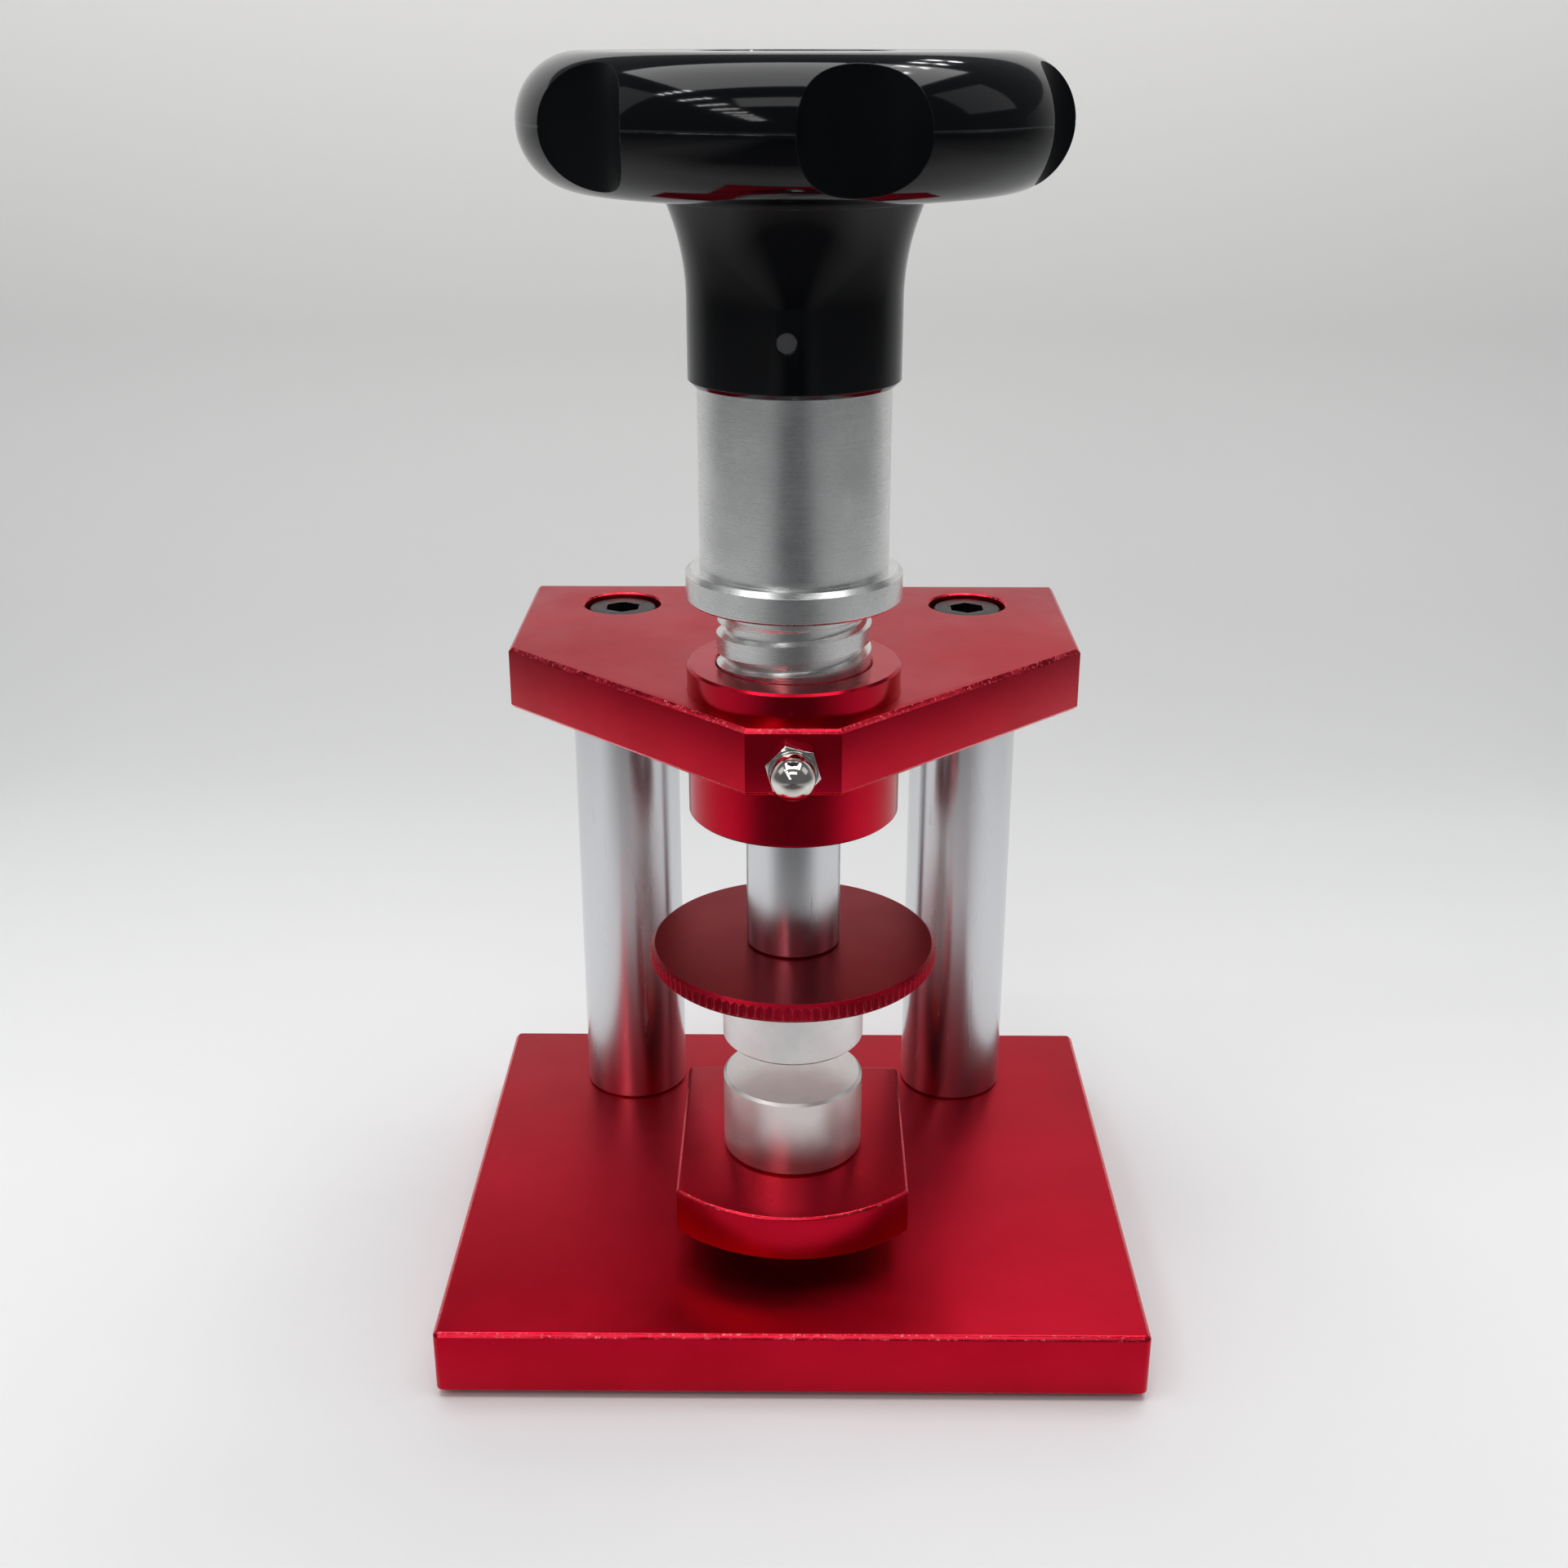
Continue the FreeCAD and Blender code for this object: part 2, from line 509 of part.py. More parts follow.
def screw_nut_bush():
    """Plain round bush with the press thread inside, held in the top plate."""
    radius = BUSH_DIAMETER / 2
    mouth = THREAD_DIAMETER / 2 + THREAD_CLEARANCE
    inside = THREAD_ROOT_RADIUS - CUT_OVERRUN
    funnel = mouth + COUNTERBORE_CHAMFER - inside
    outline = [(inside, Z_BUSH + funnel), (mouth + COUNTERBORE_CHAMFER, Z_BUSH),
               (radius - BUSH_EDGE_CHAMFER, Z_BUSH), (radius, Z_BUSH + BUSH_EDGE_CHAMFER),
               (radius, Z_BUSH_TOP - BUSH_EDGE_CHAMFER), (radius - BUSH_EDGE_CHAMFER, Z_BUSH_TOP),
               (mouth + COUNTERBORE_CHAMFER, Z_BUSH_TOP), (inside, Z_BUSH_TOP - funnel)]
    bush = threaded_sleeve().common(turned(outline, 0, Y_AXIS))
    stud_end = Y_AXIS - radius + LOCK_STUD_IN_BUSH
    return bush.cut(lock_stud_drilling(Y_PLATE_NOSE, stud_end + TAPPED_HOLE_FIT))


def front_fitting(shape):
    """Shape built on +Z above z = 0, laid against the nose with +Z pointing to the front."""
    copy = shape.copy()
    copy.rotate(point(0, 0, 0), point(1, 0, 0), 90)
    copy.translate(point(0, Y_PLATE_NOSE, (Z_PLATE + Z_PLATE_TOP) / 2))
    return copy


def bush_lock_stud():
    """Stud screwed into the bush, out through the nose of the plate and into the acorn nut."""
    return front_fitting(chamfered_rod(LOCK_STUD_DIAMETER / 2, -PLATE_NOSE_WALL - LOCK_STUD_IN_BUSH,
                                       LOCK_STUD_IN_NUT, STUD_END_CHAMFER))


def acorn_nut():
    """Domed nut on the lock stud."""
    across_corners = ACORN_NUT_FLATS / math.sqrt(3)
    bevel = across_corners - ACORN_NUT_FLATS / 2
    dome = ACORN_NUT_DOME_DIAMETER / 2
    collar = ACORN_NUT_HEIGHT - dome
    body = hexagon(ACORN_NUT_FLATS, 0, ACORN_NUT_HEX_HEIGHT, 90 + ACORN_NUT_TURN)
    rounding = turned([(0, 0), (across_corners - bevel, 0), (across_corners, bevel / 2),
                       (across_corners, ACORN_NUT_HEX_HEIGHT - bevel / 2),
                       (across_corners - bevel, ACORN_NUT_HEX_HEIGHT), (0, ACORN_NUT_HEX_HEIGHT)])
    body = body.common(rounding)
    body = body.fuse(cylinder(dome, ACORN_NUT_HEX_HEIGHT / 2, collar))
    body = body.fuse(Part.makeSphere(dome, point(0, 0, collar))).removeSplitter()
    hole = LOCK_STUD_DIAMETER / 2 + TAPPED_HOLE_FIT
    body = body.cut(cylinder(hole, -CUT_OVERRUN, LOCK_STUD_IN_NUT + TAPPED_HOLE_SPARE))
    return front_fitting(body)


# ---- Lower table group

def table_pedestal():
    """Round spacer between base and table that leaves room for a bracelet or strap."""
    ring = chamfered_rod(PEDESTAL_DIAMETER / 2, Z_BASE_TOP, Z_TABLE, COLUMN_END_CHAMFER, 0, Y_AXIS)
    return ring.cut(cylinder(DIE_STUD_DIAMETER / 2 + SCREW_HOLE_FIT, Z_BASE_TOP - CUT_OVERRUN,
                             Z_TABLE + CUT_OVERRUN, 0, Y_AXIS))


def table_screw():
    """Cap screw from under the base, through the pedestal, into the table."""
    seat = Z_BASE + TABLE_SCREW_SUNK + TABLE_SCREW_HEAD_HEIGHT
    length = Z_TABLE + TABLE_SCREW_IN_TABLE - seat
    screw = cap_screw(DIE_STUD_DIAMETER, length, TABLE_SCREW_HEAD_DIAMETER,
                      TABLE_SCREW_HEAD_HEIGHT, TABLE_SCREW_HEX)
    return placed(screw, 0, Y_AXIS, seat, upside_down=True)


def lower_table():
    """Small table with a curved front, tapped through for its screw and the die's stud."""
    half = TABLE_WIDTH / 2
    y_back = Y_AXIS + TABLE_BACK_REACH
    y_corner = Y_AXIS - TABLE_CORNER_REACH
    back_right = point(half, y_back, Z_TABLE)
    back_left = point(-half, y_back, Z_TABLE)
    front_left = point(-half, y_corner, Z_TABLE)
    front_right = point(half, y_corner, Z_TABLE)
    nose = point(0, Y_AXIS - TABLE_NOSE_REACH, Z_TABLE)
    outline = [Part.LineSegment(back_right, back_left).toShape(),
               Part.LineSegment(back_left, front_left).toShape(),
               Part.Arc(front_left, nose, front_right).toShape(),
               Part.LineSegment(front_right, back_right).toShape()]
    blank = Part.Face(Part.Wire(outline)).extrude(UP * TABLE_THICKNESS)
    back_corners = [edge for edge in blank.Edges
                    if edge.BoundBox.ZLength > TABLE_THICKNESS / 2 and edge.BoundBox.YMin > Y_AXIS]
    blank = blank.makeFillet(TABLE_BACK_CORNER_RADIUS, back_corners)
    blank = blank.makeChamfer(TABLE_EDGE_CHAMFER, edges_at_height(blank, Z_TABLE_TOP))
    table = blank.makeChamfer(TABLE_EDGE_CHAMFER, edges_at_height(blank, Z_TABLE))
    return table.cut(cylinder(DIE_STUD_DIAMETER / 2 + TAPPED_HOLE_FIT, Z_TABLE - CUT_OVERRUN,
                              Z_TABLE_TOP + CUT_OVERRUN, 0, Y_AXIS))


def lower_die_stud():
    """Headless stud that holds the lower die on the table."""
    return chamfered_rod(DIE_STUD_DIAMETER / 2, Z_TABLE_TOP - DIE_STUD_IN_TABLE,
                         Z_TABLE_TOP + DIE_STUD_IN_DIE, STUD_END_CHAMFER, 0, Y_AXIS)


def die_hole(bottom, top):
    return cylinder(DIE_STUD_DIAMETER / 2 + TAPPED_HOLE_FIT, bottom, top, 0, Y_AXIS)


def lower_die():
    """Flat-faced round die, tapped from below."""
    block = chamfered_rod(DIE_DIAMETER / 2, Z_TABLE_TOP, Z_LOWER_DIE_TOP, DIE_EDGE_CHAMFER, 0, Y_AXIS)
    return block.cut(die_hole(Z_TABLE_TOP - CUT_OVERRUN,
                              Z_TABLE_TOP + DIE_STUD_IN_DIE + TAPPED_HOLE_SPARE))


# ---- Turning group

def hand_wheel():
    """Moulded wheel with a scalloped round rim, a flared hub and a blind bore for the spigot."""
    hub = HUB_DIAMETER / 2
    bore = SPIGOT_DIAMETER / 2 + LOCATING_FIT
    bore_top = Z_SPIGOT_TOP + HUB_BORE_SPARE
    rim_centre = WHEEL_RADIUS - RIM_SECTION_RADIUS
    z_rim = Z_WHEEL_TOP - RIM_SECTION_RADIUS
    z_flare = Z_HUB + HUB_STRAIGHT
    flare = HUB_FLARE_RADIUS

    def flare_point(height):
        return hub + flare - math.sqrt(flare ** 2 - height ** 2), z_flare + height

    flare_end = flare_point(HUB_FLARE_HEIGHT)
    flare_middle = flare_point(HUB_FLARE_HEIGHT / 2)
    away_r = flare_end[0] - rim_centre
    away_z = flare_end[1] - z_rim
    to_flare = math.atan2(away_z, away_r)
    tangent_angle = to_flare + math.acos(RIM_SECTION_RADIUS / math.hypot(away_r, away_z))
    underside = (rim_centre + RIM_SECTION_RADIUS * math.cos(tangent_angle),
                 z_rim + RIM_SECTION_RADIUS * math.sin(tangent_angle))
    dish = WHEEL_TOP_DISH_DIAMETER / 2
    z_dish = Z_WHEEL_TOP - WHEEL_TOP_DISH_DEPTH

    def at(corner):
        return point(corner[0], Y_AXIS, corner[1])

    def line(start, end):
        return Part.LineSegment(at(start), at(end)).toShape()

    def arc(start, middle, end):
        return Part.Arc(at(start), at(middle), at(end)).toShape()

    top_of_rim = (rim_centre, Z_WHEEL_TOP)
    edges = [line((0, bore_top), (0, z_dish)),
             line((0, z_dish), (dish - WHEEL_TOP_DISH_DEPTH, z_dish)),
             line((dish - WHEEL_TOP_DISH_DEPTH, z_dish), (dish, Z_WHEEL_TOP)),
             line((dish, Z_WHEEL_TOP), top_of_rim),
             arc(top_of_rim, (WHEEL_RADIUS, z_rim), underside),
             line(underside, flare_end),
             arc(flare_end, flare_middle, (hub, z_flare)),
             line((hub, z_flare), (hub, Z_HUB + HUB_CHAMFER)),
             line((hub, Z_HUB + HUB_CHAMFER), (hub - HUB_CHAMFER, Z_HUB)),
             line((hub - HUB_CHAMFER, Z_HUB), (bore + HUB_BORE_ENTRY, Z_HUB)),
             line((bore + HUB_BORE_ENTRY, Z_HUB), (bore, Z_HUB + HUB_BORE_ENTRY)),
             line((bore, Z_HUB + HUB_BORE_ENTRY), (bore, bore_top)),
             line((bore, bore_top), (0, bore_top))]
    wheel = Part.Face(Part.Wire(edges)).revolve(PRESS_AXIS, UP, 360)
    reach = WHEEL_RADIUS - SCALLOP_DEPTH + SCALLOP_RADIUS
    for index in range(SCALLOP_COUNT):
        x, y = from_front(reach, SCALLOP_FIRST_ANGLE + index * 360 / SCALLOP_COUNT)
        wheel = wheel.cut(cylinder(SCALLOP_RADIUS, z_rim - 2 * RIM_SECTION_RADIUS,
                                   Z_WHEEL_TOP + CUT_OVERRUN, x, y))
    return wheel.cut(hub_pin_hole())


def from_front(radius, angle):
    """Plan position at a radius from the press axis, at an angle from the front towards +X."""
    turn = math.radians(angle)
    return radius * math.sin(turn), Y_AXIS - radius * math.cos(turn)


def hub_pin_bar(outer, length, fit):
    """Level bar along the drive pin's line, from a radius inwards."""
    x, y = from_front(outer, DRIVE_PIN_ANGLE)
    inwards = point(-x, Y_AXIS - y, 0)
    inwards.normalize()
    return Part.makeCylinder(DRIVE_PIN_DIAMETER / 2 + fit, length,
                             point(x, y, Z_HUB + DRIVE_PIN_HEIGHT), inwards)


def hub_pin_hole():
    """Hole through the hub's wall and the spigot's, as deep as the pin goes."""
    return hub_pin_bar(HUB_DIAMETER / 2 + CUT_OVERRUN, DRIVE_PIN_LENGTH + DRIVE_PIN_SUNK + CUT_OVERRUN,
                       LOCATING_FIT)


def wheel_drive_pin():
    """Dowel through the hub's wall into the spindle."""
    return hub_pin_bar(HUB_DIAMETER / 2 - DRIVE_PIN_SUNK, DRIVE_PIN_LENGTH, 0)


def spindle_thread():
    """Threaded lower end of the spindle, up to the flange, with a relief below the flange."""
    thread = THREAD_DIAMETER / 2
    bore = SHAFT_DIAMETER / 2 + SHAFT_RUNNING_FIT
    lead_in = SPINDLE_END_CHAMFER + THREAD_DEPTH
    bar = turned([(bore, Z_SPINDLE), (thread - lead_in, Z_SPINDLE), (thread, Z_SPINDLE + lead_in),
                  (thread, Z_FLANGE), (bore, Z_FLANGE)], 0, Y_AXIS)
    z_relief = Z_FLANGE - RELIEF_LENGTH
    for turn in helical_turns(thread_ridge_profile(), Z_SPINDLE - THREAD_GROOVE_MOUTH,
                              z_relief + THREAD_GROOVE_MOUTH / 2,
                              thread_front_crest_height() - THREAD_LEAD / 2):
        bar = bar.cut(turn)
    relief = THREAD_ROOT_RADIUS - RELIEF_BELOW_ROOT
    outer = thread + CUT_OVERRUN
    over_flange = Z_FLANGE + CUT_OVERRUN
    return bar.cut(turned([(relief, z_relief), (outer, z_relief + relief - outer),
                           (outer, over_flange), (relief, over_flange)], 0, Y_AXIS))


def screw_spindle():
    """Hollow spindle: thread below, flange, sleeve, and the spigot that the wheel sits on."""
    flange = FLANGE_DIAMETER / 2
    sleeve = SLEEVE_DIAMETER / 2
    spigot = SPIGOT_DIAMETER / 2
    bore = SHAFT_DIAMETER / 2 + SHAFT_RUNNING_FIT
    outline = [(bore, Z_FLANGE), (flange - FLANGE_CHAMFER / 2, Z_FLANGE),
               (flange, Z_FLANGE + FLANGE_CHAMFER / 2), (flange, Z_FLANGE_TOP - FLANGE_CHAMFER),
               (flange - FLANGE_CHAMFER, Z_FLANGE_TOP), (sleeve, Z_FLANGE_TOP), (sleeve, Z_HUB),
               (spigot, Z_HUB), (spigot, Z_SPIGOT_TOP - SHAFT_EDGE_CHAMFER),
               (spigot - SHAFT_EDGE_CHAMFER, Z_SPIGOT_TOP), (POCKET_RADIUS, Z_SPIGOT_TOP),
               (POCKET_RADIUS, Z_POCKET), (bore, Z_POCKET)]
    upper = turned(outline, 0, Y_AXIS).cut(hub_pin_hole())
    return spindle_thread().fuse(upper).removeSplitter()


def bearing_race(bottom, groove_height, bore):
    """Flat washer with a ball groove whose section is centred at the balls' height."""
    ring = washer_shape(bore, BEARING_DIAMETER / 2, bottom, bottom + BEARING_RACE_THICKNESS, 0, Y_AXIS)
    groove = Part.makeTorus(BALL_CIRCLE_DIAMETER / 2, BALL_GROOVE_RADIUS,
                            point(0, Y_AXIS, groove_height), UP)
    return ring.cut(groove)


def thrust_upper_race():
    return bearing_race(Z_UPPER_RACE, Z_BALLS, SHAFT_PILOT_DIAMETER / 2 + UPPER_RACE_BORE_FIT)


def thrust_lower_race():
    return bearing_race(Z_LOWER_RACE, Z_BALLS, SHAFT_PILOT_DIAMETER / 2 + LOCATING_FIT)


def ball_places():
    places = []
    for index in range(BALL_COUNT):
        places.append(from_front(BALL_CIRCLE_DIAMETER / 2, index * 360 / BALL_COUNT))
    return places


def thrust_balls():
    """Ring of bearing balls."""
    return Part.makeCompound([Part.makeSphere(BALL_DIAMETER / 2, point(x, y, Z_BALLS))
                              for x, y in ball_places()])


def thrust_ball_cage():
    """Flat cage that spaces the balls."""
    half = CAGE_THICKNESS / 2
    cage = washer_shape(CAGE_INNER_DIAMETER / 2, CAGE_OUTER_DIAMETER / 2, Z_BALLS - half,
                        Z_BALLS + half, 0, Y_AXIS)
    for x, y in ball_places():
        cage = cage.cut(cylinder(BALL_DIAMETER / 2 + BALL_CLEARANCE, Z_BALLS - CAGE_THICKNESS,
                                 Z_BALLS + CAGE_THICKNESS, x, y))
    return cage


def thrust_plug():
    """Slotted plug above the bearing that carries the thrust into the spindle."""
    top = Z_PLUG + PLUG_LENGTH
    radius = POCKET_RADIUS - LOCATING_FIT
    plug = chamfered_rod(radius, Z_PLUG, top, SHAFT_EDGE_CHAMFER, 0, Y_AXIS)
    plug = plug.cut(cylinder(PLUG_BORE_DIAMETER / 2, Z_PLUG - CUT_OVERRUN,
                             shaft_pilot_top() + SHAFT_PILOT_END_GAP, 0, Y_AXIS))
    slot = Part.makeBox(2 * radius + 2 * CUT_OVERRUN, PLUG_SLOT_WIDTH, PLUG_SLOT_DEPTH + CUT_OVERRUN,
                        point(-radius - CUT_OVERRUN, Y_AXIS - PLUG_SLOT_WIDTH / 2, top - PLUG_SLOT_DEPTH))
    return plug.cut(slot)


# ---- Press shaft group

def shaft_pilot_top():
    return Z_PLUG + PLUG_LENGTH - PLUG_SLOT_DEPTH - 2 * SHAFT_PILOT_END_GAP - STUD_END_CHAMFER


def press_shaft():
    """Plain shaft: tail for the disc, ground body, necked top with a circlip groove and a pilot."""
    body = SHAFT_DIAMETER / 2
    neck = SHAFT_NECK_DIAMETER / 2
    groove = CIRCLIP_GROOVE_DIAMETER / 2
    pilot = SHAFT_PILOT_DIAMETER / 2
    tail = SHAFT_TAIL_DIAMETER / 2
    chamfer = SHAFT_EDGE_CHAMFER
    z_pilot_top = shaft_pilot_top()
    outline = [(0, Z_DISC), (tail, Z_DISC), (tail, Z_DISC_TOP), (body - chamfer, Z_DISC_TOP),
               (body, Z_DISC_TOP + chamfer), (body, Z_SHAFT_SHOULDER), (neck, Z_SHAFT_SHOULDER),
               (neck, Z_WASHER_TOP), (groove, Z_WASHER_TOP), (groove, Z_CIRCLIP_TOP),
               (neck, Z_CIRCLIP_TOP), (neck, Z_LOWER_RACE), (pilot, Z_LOWER_RACE),
               (pilot, z_pilot_top - chamfer), (pilot - chamfer, z_pilot_top), (0, z_pilot_top)]
    shaft = turned(outline, 0, Y_AXIS)
    return shaft.cut(die_hole(Z_DISC - CUT_OVERRUN, Z_DISC + DIE_STUD_IN_SHAFT + TAPPED_HOLE_SPARE))


def shaft_retaining_washer():
    """Washer on the neck that lifts the shaft with the spindle."""
    return washer_shape(SHAFT_NECK_DIAMETER / 2 + LOCATING_FIT, WASHER_DIAMETER / 2,
                        Z_SHAFT_SHOULDER, Z_WASHER_TOP, 0, Y_AXIS)


def shaft_circlip():
    """Open spring ring in the shaft's groove."""
    ring = washer_shape(CIRCLIP_GROOVE_DIAMETER / 2 + LOCATING_FIT, CIRCLIP_DIAMETER / 2,
                        Z_WASHER_TOP, Z_CIRCLIP_TOP, 0, Y_AXIS)
    gap = Part.makeBox(CIRCLIP_OPENING, CIRCLIP_DIAMETER, CIRCLIP_THICKNESS + 2 * CUT_OVERRUN,
                       point(-CIRCLIP_OPENING / 2, Y_AXIS, Z_WASHER_TOP - CUT_OVERRUN))
    return ring.cut(gap)


def knurled_disc():
    """Straight-knurled disc that is held by hand to stop the shaft turning."""
    outer = DISC_DIAMETER / 2
    corners = []
    for index in range(2 * KNURL_COUNT):
        radius = outer - KNURL_DEPTH * (index % 2)
        x, y = from_front(radius, index * 180 / KNURL_COUNT)
        corners.append(point(x, y, Z_DISC))
    teeth = Part.Face(Part.makePolygon(corners + corners[:1])).extrude(UP * DISC_THICKNESS)
    blank = chamfered_rod(outer, Z_DISC, Z_DISC_TOP, KNURL_EDGE_CHAMFER + KNURL_DEPTH, 0, Y_AXIS)
    disc = teeth.common(blank)
    return disc.cut(cylinder(SHAFT_TAIL_DIAMETER / 2 + LOCATING_FIT, Z_DISC - CUT_OVERRUN,
                             Z_DISC_TOP + CUT_OVERRUN, 0, Y_AXIS))


def upper_die_stud():
    """Headless stud that pulls the upper die and the disc up against the shaft."""
    return chamfered_rod(DIE_STUD_DIAMETER / 2, Z_DISC - DIE_STUD_IN_DIE, Z_DISC + DIE_STUD_IN_SHAFT,
                         STUD_END_CHAMFER, 0, Y_AXIS)


def upper_die():
    """Flat-faced round die, tapped from above."""
    block = chamfered_rod(DIE_DIAMETER / 2, Z_UPPER_DIE, Z_DISC, DIE_EDGE_CHAMFER, 0, Y_AXIS)
    return block.cut(die_hole(Z_DISC - DIE_STUD_IN_DIE - TAPPED_HOLE_SPARE, Z_DISC + CUT_OVERRUN))


NODES = {
    "base_plate": base_plate,
    "rubber_feet": rubber_feet,
    "left_column": lambda: column(X_COLUMNS[0]),
    "right_column": lambda: column(X_COLUMNS[1]),
    "column_base_screws": column_base_screws,
    "column_cap_screws": column_cap_screws,
    "top_plate": top_plate,
    "screw_nut_bush": screw_nut_bush,
    "bush_lock_stud": bush_lock_stud,
    "acorn_nut": acorn_nut,
    "table_pedestal": table_pedestal,
    "table_screw": table_screw,
    "lower_table": lower_table,
    "lower_die_stud": lower_die_stud,
    "lower_die": lower_die,
    "hand_wheel": hand_wheel,
    "wheel_drive_pin": wheel_drive_pin,
    "screw_spindle": screw_spindle,
    "thrust_plug": thrust_plug,
    "thrust_upper_race": thrust_upper_race,
    "thrust_ball_cage": thrust_ball_cage,
    "thrust_balls": thrust_balls,
    "thrust_lower_race": thrust_lower_race,
    "press_shaft": press_shaft,
    "shaft_retaining_washer": shaft_retaining_washer,
    "shaft_circlip": shaft_circlip,
    "knurled_disc": knurled_disc,
    "upper_die_stud": upper_die_stud,
    "upper_die": upper_die,
}

os.makedirs("parts", exist_ok=True)
for name, make in NODES.items():
    shape = make()
    if not shape.isValid():
        raise ValueError(name + " is not a valid shape")
    shape.exportStep("parts/" + name + ".step")
    print(name, "solids", len(shape.Solids), "volume", round(shape.Volume, 2))
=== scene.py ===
import bmesh
import bpy
import json
import math
from mathutils import Matrix, Vector


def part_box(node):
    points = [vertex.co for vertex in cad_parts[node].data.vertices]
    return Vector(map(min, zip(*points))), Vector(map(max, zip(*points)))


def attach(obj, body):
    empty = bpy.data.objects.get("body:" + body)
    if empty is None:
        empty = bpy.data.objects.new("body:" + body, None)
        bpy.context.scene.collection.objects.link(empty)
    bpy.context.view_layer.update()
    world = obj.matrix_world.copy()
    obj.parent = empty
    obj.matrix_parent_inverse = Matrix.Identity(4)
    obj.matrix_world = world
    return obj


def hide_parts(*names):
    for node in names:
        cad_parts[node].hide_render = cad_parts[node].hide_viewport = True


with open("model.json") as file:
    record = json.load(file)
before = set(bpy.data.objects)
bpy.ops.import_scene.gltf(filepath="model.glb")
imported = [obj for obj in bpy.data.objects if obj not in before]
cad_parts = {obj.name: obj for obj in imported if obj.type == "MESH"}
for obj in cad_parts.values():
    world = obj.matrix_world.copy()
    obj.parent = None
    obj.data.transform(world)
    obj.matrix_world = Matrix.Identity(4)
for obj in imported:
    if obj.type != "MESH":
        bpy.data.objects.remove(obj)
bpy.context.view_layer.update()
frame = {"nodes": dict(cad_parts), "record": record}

# Looks of a bench press for closing watch cases: red anodised plates, table and disc, polished
# columns and shaft, turned silver spindle and dies, and a glossy black moulded hand wheel.
# Metres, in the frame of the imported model.

MM = 0.001
DEGREE = math.pi / 180

# ---- Shaping
MERGE_DISTANCE = 0.001 * MM
SHARP_ANGLE = 28 * DEGREE
ROUND_SEGMENTS = 192
SOFT_EDGE = 0.09 * MM
SOFT_EDGE_SEGMENTS = 2
CUT_OVERRUN = 1.0 * MM
BORE_SEGMENTS = 96
PIN_SEGMENTS = 48
CHAMFER_LEAN = (0.35, 0.94)

# ---- Plates
PLATE_CHAMFER = 0.7 * MM
BASE_CORNER_RADIUS = 1.2 * MM
BASE_CORNER_SEGMENTS = 6
PLATE_SIDE_LENGTH = 40.4 * MM
PLATE_NOSE_WIDTH = 15.1 * MM
BUSH_SEAT_FIT = 0.02 * MM
FOOT_SEAT_FIT = 0.02 * MM
FOOT_RADIUS = 6.0 * MM
HEAD_GAP = 0.65 * MM
TABLE_SCREW_HEAD_GAP = 0.5 * MM
COUNTERBORE_CHAMFER = 0.3 * MM

# ---- Lower table
TABLE_CHAMFER = 0.4 * MM
TABLE_CORNER_REACH = 16.3 * MM
TABLE_BACK_CORNER_RADIUS = 1.0 * MM
TABLE_FRONT_STEPS = 40
TABLE_BACK_CORNER_SEGMENTS = 5

# ---- Column screws
SCREW_DIAMETER = 8.0 * MM
SCREW_HEAD_DIAMETER = 13.0 * MM
SCREW_HEAD_HEIGHT = 8.0 * MM
SCREW_HEAD_CHAMFER = 0.5 * MM
SCREW_SOCKET_FLATS = 6.0 * MM
SCREW_SOCKET_DEPTH = 4.0 * MM
TABLE_SCREW_HEAD_HEIGHT = 6.0 * MM

# ---- Hand wheel
RIM_SECTION_RADIUS = 9.6 * MM
HUB_RADIUS = 16.55 * MM
HUB_STRAIGHT = 12.8 * MM
HUB_FLARE_RADIUS = 36.0 * MM
HUB_FLARE_HEIGHT = 14.4 * MM
HUB_CHAMFER = 0.8 * MM
HUB_BORE_RADIUS = 13.02 * MM
HUB_BORE_DEPTH = 25.2 * MM
HUB_BORE_ENTRY = 0.3 * MM
DRIVE_PIN_HEIGHT = 8.3 * MM
DRIVE_PIN_ANGLE = -4.0 * DEGREE
DRIVE_PIN_RADIUS = 1.52 * MM
DRIVE_PIN_HOLE_LENGTH = 10 * MM
SCALLOP_COUNT = 6
SCALLOP_RADIUS = 13.0 * MM
SCALLOP_REACH = 49.1 * MM
SCALLOP_MARGIN = 0.02 * MM
SCALLOP_LEAN = 0.2
SCALLOP_FIRST_ANGLE = 13.2 * DEGREE
WHEEL_DISH_RADIUS = 15.0 * MM
WHEEL_DISH_DEPTH = 0.6 * MM
ARC_STEPS = 40
PARTING_LINE_DEPTH = 0.1 * MM
PARTING_LINE_HALF = 0.14 * MM

# ---- Colours
RED_DEEP = (0.46, 0.0028, 0.017)
RED_LIGHT = (0.55, 0.0048, 0.025)
RED_WORN = (0.86, 0.04, 0.07)
# The disc's red, painted darker than the plates': painted shade for its place under the top plate.
DISC_PAINTED_SHADE_DEEP = (0.24, 0.002, 0.011)
DISC_PAINTED_SHADE_LIGHT = (0.31, 0.004, 0.016)
CHAMFER_DEEP = (0.62, 0.008, 0.03)
CHAMFER_LIGHT = (0.82, 0.03, 0.06)
CHAMFER_NICK = (0.92, 0.22, 0.24)
SILVER = (0.88, 0.885, 0.875)
FROSTED_SILVER = (0.95, 0.95, 0.94)
WARM_SILVER = (0.92, 0.90, 0.88)
BARE_METAL = (0.93, 0.93, 0.92)
POLISH = (0.72, 0.73, 0.75)
STEEL = (0.60, 0.61, 0.62)
